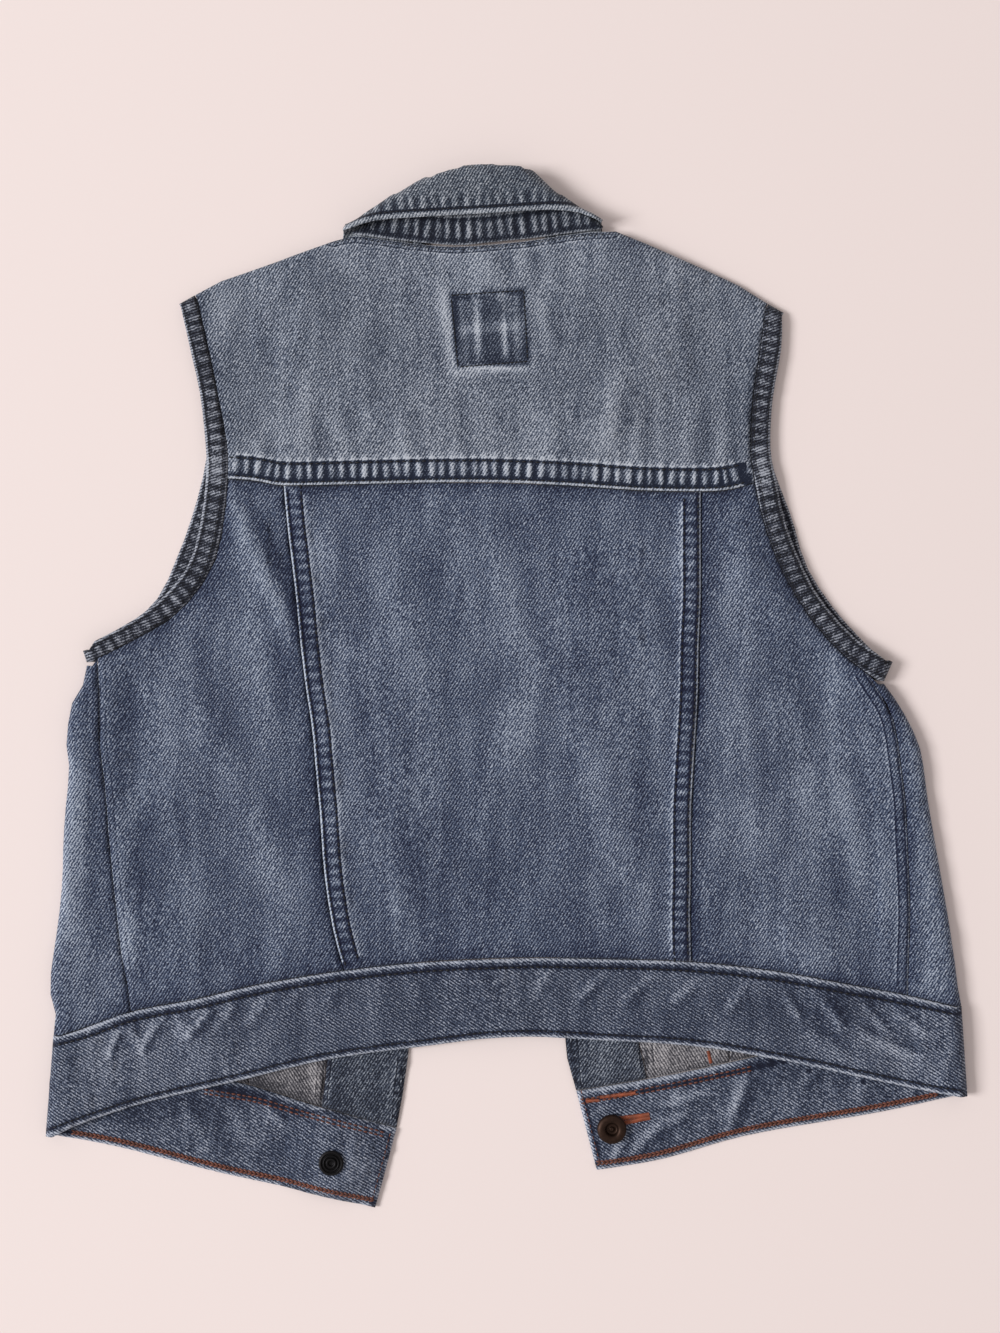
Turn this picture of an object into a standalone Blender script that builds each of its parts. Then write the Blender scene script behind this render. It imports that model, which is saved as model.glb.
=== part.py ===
# A cropped denim vest, laid face down on a flat surface with its back up.
# The photo's right is +X, its top is +Y and the back of the cloth faces +Z.
# Left and right are the viewer's, which are also the wearer's, because the back is up.
# Sizes are in millimetres and are scaled to metres when a mesh is made.
import math
from collections import namedtuple

import bpy
import bmesh
from mathutils import Vector

MM = 0.001

# Thickness of each kind of cloth.
CLOTH = 1.2
BAND = 2.2
BINDING = 2.0
STAND = 1.6
LEAF = 1.6

# Clear width between two pieces that are sewn together.
SEAM_GAP = 0.34
# How far inside an outline the layers' heights are read for its fold.
FOLD_PROBE = 4.0

# How far the panel under each armhole stays clear of the binding at the fold.
UNDERARM_NOTCH = 1.8

# How far the back layer's underside lies above the floor.
LAYER_GAP = 3.0
SIDE_SWELL = 2.8
SIDE_SWELL_WIDTH = 24.0
# The swell fades out between these two levels, below the armholes.
SWELL_TOP = 40.0
SWELL_FULL = 15.0
# The back layer never lies lower than this.
LAYER_LEAST = 2.7

# The front of the collar lies under the fronts and lifts both layers.
COLLAR_LIFT = 2.6
FRONT_SLOPE = 14.0
BACK_SLOPE = 30.0

# A seam whose edge is folded over its neighbour stands up by this much.
SEAM_RISE = 0.9
SEAM_WIDTH = 11.0
BACK_SEAM_WIDTH = 9.0
SEAM_FALL = 3.0

# Heights of the collar's middle surface where the back of it rolls over.
STAND_TOP = 7.8
LEAF_TOP = 13.4
ROLL_DEPTH = 3.0
LEAF_SEAM = 7.0
STAND_CLEAR = 0.5
# How far the front of the stand lies above the height of the fronts.
COLLAR_CLEAR = 0.1

# Straight stretches that draw one row's length of a smooth curve.
CURVE_STEPS = 6
# Straight stretches that draw the half turn of cloth at a fold.
BEND_STEPS = 6

# Columns of the yoke: on its left shoulder, at its neck and on its right shoulder.
SHOULDER_STEPS = 5
NECK_STEPS = 12
# Columns and rows of the other panels.
CENTRE_STEPS = 14
SIDE_STEPS = 7
BODY_STEPS = 21
WRAP_STEPS = 18
PLACKET_STEPS = 22
FRONT_NECK_STEPS = 4
PLACKET_COLUMNS = 4
BAND_COLUMNS = 5
BAND_LEFT_STEPS = 20
BAND_BACK_STEPS = 44
BAND_RIGHT_STEPS = 22
COLLAR_BACK_STEPS = 20
COLLAR_FRONT_STEPS = 9
TURN_STEPS = 20
# Turns, in degrees above the fold's middle, at which a panel goes round a shoulder.
SHOULDER_ANGLES = (60, 32, 6)
# Stretches of each panel's armhole edge, which the binding repeats.
ARM_BACK_STEPS = 9
ARM_FRONT_STEPS = 14
ARM_UNDER_STEPS = 6
STRIP_STEPS = 2
# Rows of a level table this close to a seam's ends are left out.
END_CLEAR = 4.0

# Left and right outlines of the folds between back and front, level by level.
Sides = namedtuple("Sides", "y left right")
FOLDS = [
    Sides(11, -213, 193.5),
    Sides(3, -214.5, 194.5),
    Sides(-6.5, -220.5, 199.5),
    Sides(-17.5, -223, 206),
    Sides(-29.5, -224, 211.5),
    Sides(-42, -222.5, 214),
    Sides(-57.5, -224, 216),
    Sides(-78, -225.5, 219.5),
    Sides(-98, -226, 223),
    Sides(-118.5, -228, 226.5),
    Sides(-139, -231, 229.5),
    Sides(-154.5, -232.5, 231.5),
    Sides(-164.5, -229.5, 232),
    Sides(-177.5, -230.5, 233),
]
SIDE_SEAMS = [
    Sides(-1.5, -207, 190),
    Sides(-12.5, -207, 196.5),
    Sides(-27, -207, 200),
    Sides(-42, -205, 202),
    Sides(-57.5, -203.5, 204),
    Sides(-78, -202, 205),
    Sides(-98, -200, 206),
    Sides(-116.5, -198, 206.5),
    Sides(-135, -196, 206),
    Sides(-150.5, -193, 205.5),
]
BACK_SEAMS = [
    Sides(85.5, -111.5, 100),
    Sides(65, -109, 100),
    Sides(44.5, -106.5, 100),
    Sides(24, -104.5, 99),
    Sides(-1.5, -101.5, 98.5),
    Sides(-21, -98.5, 97.5),
    Sides(-44, -96.5, 96),
    Sides(-65, -94.5, 95),
    Sides(-93, -92.5, 95),
    Sides(-117.5, -89, 94.5),
    Sides(-133, -85.5, 95),
]
FRONT_SEAMS = [
    Sides(10, -163, 152),
    Sides(-50, -154, 140),
    Sides(-120, -143, 126),
    Sides(-170, -134, 117),
]

# The armhole binding, station by station from the shoulder to the underarm.
Strip = namedtuple("Strip", "outer_x outer_y inner_x inner_y")
ARM_BACK_LEFT = [
    Strip(-166.5, 196, -158.5, 200.5),
    Strip(-160.5, 172, -152, 175),
    Strip(-155.5, 149, -147, 150.5),
    Strip(-152.5, 120.5, -142, 123.5),
    Strip(-152.5, 106, -141.5, 106.5),
    Strip(-155, 85.5, -144, 81.5),
    Strip(-161, 63.5, -150, 60.5),
    Strip(-174, 46.5, -166, 39),
    Strip(-190, 34, -185, 26.5),
    Strip(-209, 23.5, -207.5, 15),
    Strip(-215.5, 19, -213.5, 13),
]
ARM_BACK_RIGHT = [
    Strip(142.5, 191.5, 134.5, 196),
    Strip(141, 173, 130, 170),
    Strip(136.5, 146.5, 126.5, 146.5),
    Strip(135.5, 121.5, 125.5, 121),
    Strip(138.5, 106, 127.5, 104.5),
    Strip(142.5, 86, 132.5, 83.5),
    Strip(150.5, 64.5, 140.5, 62),
    Strip(161, 45, 152.5, 40.5),
    Strip(177.5, 26, 169, 20),
    Strip(189, 17.5, 184, 7.5),
    Strip(198, 13.5, 193.5, 3.5),
]
ARM_FRONT_LEFT = [
    Strip(-166.5, 196, -158.5, 200.5),
    Strip(-155.5, 154.5, -146.5, 154.5),
    Strip(-152, 131.5, -142, 131.5),
    Strip(-154, 111, -143.5, 108),
    Strip(-160.5, 86.5, -150.5, 82.5),
    Strip(-168.5, 65, -159.5, 58.5),
    Strip(-178, 45.5, -171, 37),
    Strip(-196.5, 28.5, -192, 19),
    Strip(-215.5, 19, -213.5, 13),
]
ARM_FRONT_RIGHT = [
    Strip(142.5, 191.5, 134.5, 196),
    Strip(136, 157, 126.5, 157),
    Strip(134, 126, 124, 125),
    Strip(140, 105, 130, 102.5),
    Strip(147, 86.5, 137, 82.5),
    Strip(154, 63, 144.5, 58.5),
    Strip(167.5, 41.5, 159, 34.5),
    Strip(184, 23, 177.5, 14.5),
    Strip(198, 13.5, 193.5, 3.5),
]
# Rows of the tables above where the yoke meets the side panels of the back.
YOKE_ROW = 4
# Rows where the front's two panels meet.
FRONT_SEAM_ROW = 6

Point = namedtuple("Point", "x y")
YOKE_SEAM = [
    Point(-141.5, 106.5),
    Point(-127.5, 105.5),
    Point(-113, 103),
    Point(-84, 103.5),
    Point(-38, 104.5),
    Point(-2.5, 104.5),
    Point(33, 103),
    Point(69, 100.5),
    Point(100, 100),
    Point(115, 101),
    Point(127.5, 104.5),
]
# Where the two back seams run into the yoke seam, counted in its rows.
BACK_SEAM_LEFT_ROW = 2
BACK_SEAM_RIGHT_ROW = 8

# Outline of the yoke's top: a shoulder fold, the neck seam and the other shoulder.
SHOULDER_LEFT = [
    Point(-158.5, 200.5),
    Point(-145.5, 207.5),
    Point(-120, 216),
    Point(-104.5, 221.5),
    Point(-87.5, 227.5),
]
NECK_BACK = [
    Point(-87.5, 227.5),
    Point(-76.5, 230),
    Point(-53.5, 227),
    Point(-25.5, 224.5),
    Point(7.5, 227),
    Point(35.5, 231),
    Point(56.5, 232.5),
]
SHOULDER_RIGHT = [
    Point(56.5, 232.5),
    Point(71.5, 226.5),
    Point(97, 215.5),
    Point(116, 207.5),
    Point(126.5, 200.5),
    Point(134.5, 196),
]

# The hem band, station by station: its top seam and its bottom fold.
Hem = namedtuple("Hem", "top_x top_y bottom_x bottom_y")
HEM_BACK = [
    Hem(-230.5, -177.5, -234.5, -229),
    Hem(-214, -173.5, -217, -222.5),
    Hem(-191, -165.5, -186, -212.5),
    Hem(-155.5, -158.5, -155.5, -205),
    Hem(-125, -151.5, -127.5, -198.5),
    Hem(-82, -144.5, -89, -189.5),
    Hem(-38, -140, -41, -183),
    Hem(7.5, -138, 2.5, -178),
    Hem(48.5, -138.5, 48.5, -180),
    Hem(95, -140, 97, -183),
    Hem(140, -145, 143, -190.5),
    Hem(181, -152.5, 186, -199.5),
    Hem(205.5, -157, 212, -205),
    Hem(233, -162.5, 236, -208.5),
]
# Rows of that table where the panels' seams run into the band, the right ones from its end.
SIDE_LEFT_ROW = 2
BACK_LEFT_ROW = 5
BACK_RIGHT_ROW = 9
SIDE_RIGHT_ROW = 1
BACK_RIGHT_ROW_FROM_END = 4
HEM_FRONT_LEFT = [
    Hem(-230.5, -177.5, -234.5, -229),
    Hem(-181, -191, -196.5, -235.5),
    Hem(-131, -203.5, -145.5, -248.5),
    Hem(-94, -215, -107, -256.5),
    Hem(-55.5, -225.5, -66.5, -266),
]
HEM_FRONT_RIGHT = [
    Hem(233, -162.5, 236, -208.5),
    Hem(181, -176, 191, -217.5),
    Hem(115, -192, 125, -229),
    Hem(73, -200.5, 80, -241.5),
    Hem(36.5, -206.5, 47, -247),
]
# Rows where the front's seams run into the band.
FRONT_SEAM_HEM_ROW = 2
PLACKET_HEM_ROW = 3

# Sewn and free edges of the two button stands.
Placket = namedtuple("Placket", "y left_sewn left_free right_free right_sewn")
PLACKETS = [
    Placket(95.5, -74, -32.5, 18.5, 56.5),
    Placket(-6.5, -80, -39.5, 22, 61.5),
    Placket(-108.5, -85, -45, 27, 66),
    Placket(-183, -90.5, -49, 31, 69),
]

# Neck edge of the fronts, from the shoulder to the free edge of the button stand.
NECK_FRONT_LEFT = [
    Point(-87.5, 227.5),
    Point(-80, 210),
    Point(-67, 192.5),
    Point(-49, 180),
    Point(-28, 172),
]
NECK_FRONT_RIGHT = [
    Point(56.5, 232.5),
    Point(56, 212),
    Point(50, 194),
    Point(35, 181),
    Point(15.5, 172),
]
# Row of both tables where the button stand's sewn edge starts.
PLACKET_NECK_ROW = 2

# The collar, station by station: neck seam, roll and the leaf's free edge.
Collar = namedtuple("Collar", "neck_x neck_y roll_x roll_y leaf_x leaf_y")
COLLAR_BACK = [
    Collar(-77, 230.6, -36, 258.4, -84.5, 229.5),
    Collar(-53.5, 227.6, -28.5, 261.8, -66.5, 236),
    Collar(-25.5, 225.1, -20, 264.8, -33, 238.5),
    Collar(-9, 226.4, -11, 265.4, -5, 240),
    Collar(15, 228.8, -3, 265.4, 20, 241.5),
    Collar(35.5, 231.6, 3, 264.6, 38, 240),
    Collar(49, 233.2, 8.5, 262, 51, 234),
]
COLLAR_LEFT = [
    Collar(-77, 230.6, -36, 258.4, -84.5, 229.5),
    Collar(-79, 210.5, -42, 236, -94, 206),
    Collar(-66.2, 193.2, -39, 215, -89, 184),
    Collar(-48.6, 180.9, -29, 199, -75, 164),
    Collar(-28.3, 172.9, -17, 190, -56, 150),
]
COLLAR_RIGHT = [
    Collar(49, 233.2, 8.5, 262, 51, 234),
    Collar(55.1, 212.3, 20, 236, 70, 208),
    Collar(49.3, 194.5, 22, 215, 71, 188),
    Collar(34.7, 181.8, 16, 199, 62, 168),
    Collar(15.7, 172.9, 6, 190, 44, 152),
]
# Outward directions of the folds at the collar's two sides.
COLLAR_OUT_LEFT = Vector((-0.547, 0.837))
COLLAR_OUT_RIGHT = Vector((0.594, 0.804))
# How much less than a half circle the folds stand out at the leaf's edge.
TURN_TAPER = 0.45

# Lines of the collar's front under the other layers, and which of them it lifts.
Lift = namedtuple("Lift", "start_x start_y end_x end_y half_width fronts")
COLLAR_LIFTS = [
    Lift(-86, 216, -76, 184, 20, True),
    Lift(-76, 184, -48, 163, 20, True),
    Lift(60, 216, 60, 184, 20, True),
    Lift(60, 184, 36, 163, 20, True),
    Lift(-12, 236, -8, 190, 40, False),
]

# Largest folds of the back layer: a line, its half width and its height.
Fold = namedtuple("Fold", "start_x start_y end_x end_y half_width height")
BACK_FOLDS = [
    Fold(-141, 100, -104, 14, 9, 1.5),
    Fold(-192, 0, -190, -60, 9, -1.5),
    Fold(152, 20, 178, -78, 10, -1.4),
    Fold(-9, 214, -7, 186, 9, 0.9),
    Fold(60, 172, 48, 120, 11, 0.9),
    Fold(-106, 176, -102, 120, 13, 0.8),
    Fold(-60, 20, -48, -96, 16, 0.8),
    Fold(40, 60, 56, -70, 17, 0.9),
    Fold(-176, -120, -150, -190, 10, 1.3),
    Fold(150, -120, 184, -190, 11, 1.3),
    Fold(-10, -150, 4, -196, 18, 1.6),
    Fold(120, 76, 150, 20, 9, 1.1),
]

# The two buttons of the band: place, and how far the cloth is lifted by the head below it.
Button = namedtuple("Button", "name x y lift")
TACK_LEFT = Button("tack_button_left", -88.5, -242, 4.1)
TACK_RIGHT = Button("tack_button_right", 54.5, -225.5, 0)
BUTTON_PLATEAU = 10.0
BUTTON_SLOPE = 18.0
SHANK_RADIUS = 1.4
SHANK_HOLE = 1.8

# Turned profiles, as radius and height above the cloth.
Turn = namedtuple("Turn", "radius height")
HEAD_PROFILE = [
    Turn(6.6, 0),
    Turn(7.3, 0.7),
    Turn(7.5, 1.6),
    Turn(7.2, 2.6),
    Turn(6.3, 3.3),
    Turn(5.2, 3.5),
    Turn(4.3, 3.1),
    Turn(3.7, 2.3),
    Turn(2.2, 2.1),
    Turn(0, 2.4),
]
TACK_PROFILE = [
    Turn(6.2, 0),
    Turn(6.5, 0.5),
    Turn(6.0, 1.1),
    Turn(5.0, 1.3),
    Turn(4.2, 0.9),
    Turn(3.4, 0.9),
    Turn(2.7, 1.4),
    Turn(1.6, 1.3),
    Turn(1.0, 0.7),
    Turn(0, 0.6),
]
BUTTON_SEAT = 0.3
SHANK_END = 0.1

DENIM_BLUE = (0.118, 0.135, 0.185)
DENIM_DARK = (0.073, 0.083, 0.118)
DENIM_STRIP = (0.088, 0.100, 0.138)
GUNMETAL = (0.045, 0.043, 0.042)
BRONZE = (0.060, 0.045, 0.036)


def soft_step(value):
    # Rises from 0 to 1 while the value goes from 0 to 1, with no corner.
    held = min(max(value, 0.0), 1.0)
    return held * held * (3.0 - 2.0 * held)


def distance_to_line(place, start, end):
    # Distance to a straight stretch, and how far along it the nearest point lies.
    stretch = end - start
    share = (place - start).dot(stretch) / stretch.length_squared
    held = min(max(share, 0.0), 1.0)
    return (place - start - stretch * held).length, held


def collar_distance(place, lifts):
    # How far a place lies from the cloth that the collar's front lifts.
    nearest = 1000.0
    for lift in lifts:
        start = Vector((lift.start_x, lift.start_y))
        end = Vector((lift.end_x, lift.end_y))
        distance, share = distance_to_line(place, start, end)
        nearest = min(nearest, distance - lift.half_width)
    return max(nearest, 0.0)


def outline_at(rows, side, y):
    # The x of one outline at a level, held at its first and last rows.
    if y >= rows[0].y:
        return getattr(rows[0], side)
    for upper, lower in zip(rows, rows[1:]):
        if y >= lower.y:
            share = (upper.y - y) / (upper.y - lower.y)
            return getattr(upper, side) * (1 - share) + getattr(lower, side) * share
    return getattr(rows[-1], side)


def front_height(place):
    # Underside of the front layer: the floor, the collar's leaves or a button's head.
    distance = collar_distance(place, [lift for lift in COLLAR_LIFTS if lift.fronts])
    lift = COLLAR_LIFT * (1 - soft_step(distance / FRONT_SLOPE))
    reach = (place - Vector((TACK_LEFT.x, TACK_LEFT.y))).length - BUTTON_PLATEAU
    return lift + TACK_LEFT.lift * (1 - soft_step(reach / BUTTON_SLOPE))


def fold_heights(place):
    total = 0.0
    for fold in BACK_FOLDS:
        start = Vector((fold.start_x, fold.start_y))
        end = Vector((fold.end_x, fold.end_y))
        distance, share = distance_to_line(place, start, end)
        total += fold.height * math.exp(-((distance / fold.half_width) ** 2))
    return total


def back_height(place):
    # Underside of the back layer, raised over the collar and towards the side folds.
    distance = collar_distance(place, COLLAR_LIFTS)
    height = LAYER_GAP + COLLAR_LIFT * (1 - soft_step(distance / BACK_SLOPE))
    if place.y < SWELL_TOP:
        to_left = place.x - outline_at(FOLDS, "left", place.y)
        to_right = outline_at(FOLDS, "right", place.y) - place.x
        nearest = max(min(to_left, to_right), 0.0)
        fade = soft_step((SWELL_TOP - place.y) / (SWELL_TOP - SWELL_FULL))
        height += SIDE_SWELL * math.exp(-((nearest / SIDE_SWELL_WIDTH) ** 2)) * fade
    return max(height + fold_heights(place), LAYER_LEAST)


def curved(points):
    # A smooth curve through plan points, as many short stretches.
    plan = [Vector(point) for point in points]
    steps = CURVE_STEPS
    result = [plan[0]]
    for index in range(len(plan) - 1):
        before = plan[max(index - 1, 0)]
        start = plan[index]
        end = plan[index + 1]
        after = plan[min(index + 2, len(plan) - 1)]
        for step in range(1, steps + 1):
            t = step / steps
            pull_in = (end - before) * 0.5
            pull_out = (after - start) * 0.5
            first = start * (2 * t ** 3 - 3 * t ** 2 + 1) + pull_in * (t ** 3 - 2 * t ** 2 + t)
            second = end * (3 * t ** 2 - 2 * t ** 3) + pull_out * (t ** 3 - t ** 2)
            result.append(first + second)
    return result


def cut(points, first, last):
    # The stretch of a smooth curve between two of its rows, in either direction.
    dense = curved(points)
    if first <= last:
        return dense[first * CURVE_STEPS:last * CURVE_STEPS + 1]
    return dense[last * CURVE_STEPS:first * CURVE_STEPS + 1][::-1]


def joined(first, second):
    # Two runs of stations that share a corner.
    return first + second[1:]


def stations(dense, shares):
    # Plan points at shares of a curve's length.
    lengths = [0.0]
    for start, end in zip(dense, dense[1:]):
        lengths.append(lengths[-1] + (end - start).length)
    result = []
    for share in shares:
        wanted = share * lengths[-1]
        index = 0
        while index < len(dense) - 2 and lengths[index + 1] < wanted:
            index += 1
        span = max(lengths[index + 1] - lengths[index], 1e-6)
        result.append(dense[index].lerp(dense[index + 1], (wanted - lengths[index]) / span))
    return result


def spread(count):
    return [index / count for index in range(count + 1)]


def spread_with_strips(count, length, width):
    # Even shares, with closer ones where a seam edge rises near the start.
    near = [width / length, (width + SEAM_FALL) / length]
    clear = near[-1] + 0.4 / count
    return [0.0] + near + [share for share in spread(count) if share > clear]


# Shares of the yoke's height and of the centre panel's width, close at their raised seams.
YOKE_SHARES = spread_with_strips(10, 115, SEAM_WIDTH)
CENTRE_HALF = [share for share in spread_with_strips(CENTRE_STEPS, 190, BACK_SEAM_WIDTH) if share < 0.5]
CENTRE_SHARES = CENTRE_HALF + [0.5] + [1 - share for share in reversed(CENTRE_HALF)]


def column(rows, side, low, high):
    # Plan points of one level table between two heights, from the bottom up.
    return [Point(getattr(row, side), row.y) for row in reversed(rows) if low < row.y < high]


def seam(rows, side, bottom, top):
    # A seam from a point below to a point above, through the rows between them.
    return [bottom] + column(rows, side, bottom.y + END_CLEAR, top.y - END_CLEAR) + [top]


def outer(rows):
    return [Point(row.outer_x, row.outer_y) for row in rows]


def inner(rows):
    return [Point(row.inner_x, row.inner_y) for row in rows]


def tops(rows):
    return [Point(row.top_x, row.top_y) for row in rows]


def bottoms(rows):
    return [Point(row.bottom_x, row.bottom_y) for row in rows]


def shares_of(first, second):
    # Mean shares of length at which two matching runs of stations lie.
    result = []
    for run in (first, second):
        lengths = [0.0]
        for start, end in zip(run, run[1:]):
            lengths.append(lengths[-1] + (end - start).length)
        result.append([length / lengths[-1] for length in lengths])
    return [(a + b) / 2 for a, b in zip(*result)]


def patch(bottom, top, left, right):
    # Plan points of a panel between four borders' stations, row by row from the bottom.
    across = shares_of(bottom, top)
    rows = []
    for j, v in enumerate(shares_of(left, right)):
        row = []
        for i, u in enumerate(across):
            between_rows = bottom[i] * (1 - v) + top[i] * v
            between_sides = left[j] * (1 - u) + right[j] * u
            corners = (bottom[0] * (1 - u) + bottom[-1] * u) * (1 - v)
            corners += (top[0] * (1 - u) + top[-1] * u) * v
            row.append(between_rows + between_sides - corners)
        rows.append(row)
    return rows


def raised(rows, height, half):
    # Puts plan rows at the middle of a wall whose underside follows the height function.
    return [[Vector((place.x, place.y, height(place) + half)) for place in row] for row in rows]


def fold_centre(edge, outward, half):
    # Where the half turn at a fold is centred, inside the outline of the folded cloth.
    probe = edge - outward * FOLD_PROBE
    radius = (back_height(probe) - front_height(probe)) / 2
    return edge - outward * (radius + half)


def bend(centre, outward, half):
    # Middle points of the half turn at a fold, from the back layer down to the front.
    top = back_height(centre) + half
    low = front_height(centre) + half
    radius = (top - low) / 2
    points = []
    for step in range(1, BEND_STEPS):
        angle = math.pi / 2 - math.pi * step / BEND_STEPS
        flat = centre + outward * radius * math.cos(angle)
        points.append(Vector((flat.x, flat.y, (top + low) / 2 + radius * math.sin(angle))))
    return points


def near_edge(index, count, from_start, from_end):
    # The neighbour that a border point is drawn towards.
    if index == 0 and from_start:
        return 1
    if index == count - 1 and from_end:
        return count - 2
    return index


def trimmed(rows, borders):
    # Draws sewn borders back by half the seam gap. borders is first, last, start and end.
    first, last, start, end = borders
    result = []
    for j, row in enumerate(rows):
        line = []
        for i, point in enumerate(row):
            towards_j = near_edge(j, len(rows), first, last)
            towards_i = near_edge(i, len(row), start, end)
            moved = point.copy()
            if towards_j != j:
                moved += (rows[towards_j][i] - point).normalized() * SEAM_GAP / 2
            if towards_i != i:
                moved += (rows[j][towards_i] - point).normalized() * SEAM_GAP / 2
            line.append(moved)
        result.append(line)
    return result


def material(name, colour, roughness, metallic):
    made = bpy.data.materials.new(name)
    made.use_nodes = True
    shader = made.node_tree.nodes["Principled BSDF"]
    shader.inputs["Base Color"].default_value = (*colour, 1)
    shader.inputs["Roughness"].default_value = roughness
    shader.inputs["Metallic"].default_value = metallic
    made.diffuse_color = (*colour, 1)
    return made


def add_object(name, mesh, colour, roughness, metallic, collection):
    made = bpy.data.objects.new(name, mesh)
    made.data.materials.append(material(name, colour, roughness, metallic))
    collection.objects.link(made)
    return made


def cloth_wall(name, rows, thickness, colour, closed=False, even_wall=True):
    # A wall of cloth around the middle surface that the rows of points describe.
    mesh = bpy.data.meshes.new(name)
    shape = bmesh.new()
    columns = len(rows[0])
    bmesh.ops.create_grid(shape, x_segments=columns - 1, y_segments=len(rows) - 1, size=1)
    shape.verts.ensure_lookup_table()
    for j, row in enumerate(rows):
        for i, point in enumerate(row):
            shape.verts[j * columns + i].co = point * MM
    if closed:
        bmesh.ops.remove_doubles(shape, verts=shape.verts, dist=0.00002)
    bmesh.ops.recalc_face_normals(shape, faces=shape.faces)
    shape.to_mesh(mesh)
    shape.free()
    mesh.shade_smooth()
    made = add_object(name, mesh, colour, 0.9, 0, vest)
    wall = made.modifiers.new("wall", "SOLIDIFY")
    wall.thickness = thickness * MM
    wall.offset = 0
    wall.use_even_offset = even_wall
    return made


def seam_rise(distance, width):
    # Profile of a lapped seam: up at once at its fold and down again past its stitches.
    return SEAM_RISE * (1 - soft_step((distance - width) / SEAM_FALL))


def even(points, count):
    # Stations at equal steps along a smooth curve through plan points.
    return stations(curved(points), spread(count))


def arm_line(rows, share, over, under):
    # A line along the armhole, between its edge (0) and its seam (1), from fold to fold.
    line = [Vector(a).lerp(Vector(b), share) for a, b in zip(outer(rows), inner(rows))]
    if over:
        line[0] = over
    if under:
        line[-1] = under
    return line


def centre_panel():
    bottom = stations(cut(tops(HEM_BACK), BACK_LEFT_ROW, BACK_RIGHT_ROW), CENTRE_SHARES)
    top = stations(cut(YOKE_SEAM, BACK_SEAM_LEFT_ROW, BACK_SEAM_RIGHT_ROW), CENTRE_SHARES)
    left = even(seam(BACK_SEAMS, "left", Point(*bottom[0]), Point(*top[0])), BODY_STEPS)
    right = even(seam(BACK_SEAMS, "right", Point(*bottom[-1]), Point(*top[-1])), BODY_STEPS)
    points = raised(patch(bottom, top, left, right), back_height, CLOTH / 2)
    for row in points:
        for point in row[1:-1]:
            edge = min((point - row[0]).length, (point - row[-1]).length)
            point.z += seam_rise(edge, BACK_SEAM_WIDTH)
        row[0].z += SEAM_RISE
        row[-1].z += SEAM_RISE
    cloth_wall("back_centre_panel", trimmed(points, (True, True, True, True)), CLOTH, DENIM_BLUE)


def back_side_panel(side, arm_back, hem_back, seam_row, back_row, yoke_rows):
    # From the side seam to the back seam, and up along the armhole to the yoke.
    bottom = stations(cut(tops(hem_back), seam_row, back_row), spread(SIDE_STEPS))
    top = stations(cut(YOKE_SEAM, *yoke_rows), spread(SIDE_STEPS))
    seam_top = inner(arm_back)[-2]
    side_seam = even(seam(SIDE_SEAMS, side, Point(*bottom[0]), seam_top), BODY_STEPS - ARM_BACK_STEPS)
    arm = stations(cut(inner(arm_back)[:-1], len(arm_back) - 2, YOKE_ROW), spread(ARM_BACK_STEPS))
    back_seam = even(seam(BACK_SEAMS, side, Point(*bottom[-1]), Point(*top[-1])), BODY_STEPS)
    rows = patch(bottom, top, joined(side_seam, arm), back_seam)
    points = raised(rows, back_height, CLOTH / 2)
    name = "back_side_panel_" + side
    cloth_wall(name, trimmed(points, (True, True, True, True)), CLOTH, DENIM_BLUE)


def shoulder_rows(edge_points, outwards, folded, height, half, upper):
    # Extra rows that carry a panel from its flat part round to the shoulder's outline.
    top_rows = []
    for angle in SHOULDER_ANGLES:
        turn = math.radians(angle)
        row = []
        for edge, outward, share in zip(edge_points, outwards, folded):
            centre = fold_centre(edge, outward, half)
            top = back_height(centre) + half
            low = front_height(centre) + half
            radius = (top - low) / 2
            flat = centre + outward * radius * math.cos(turn)
            rise = radius * math.sin(turn)
            curve_z = (top + low) / 2 + (rise if upper else -rise)
            place = centre.lerp(edge, math.cos(turn)).lerp(flat, share)
            level = Vector((place.x, place.y, height(place) + half))
            row.append(level.lerp(Vector((place.x, place.y, curve_z)), share))
        top_rows.append(row)
    return top_rows


def outward_normals(points):
    # Directions square to an outline that runs from left to right, pointing up the sheet.
    result = []
    for index in range(len(points)):
        before = points[max(index - 1, 0)]
        after = points[min(index + 1, len(points) - 1)]
        along = (after - before).normalized()
        result.append(Vector((-along.y, along.x)))
    return result


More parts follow.
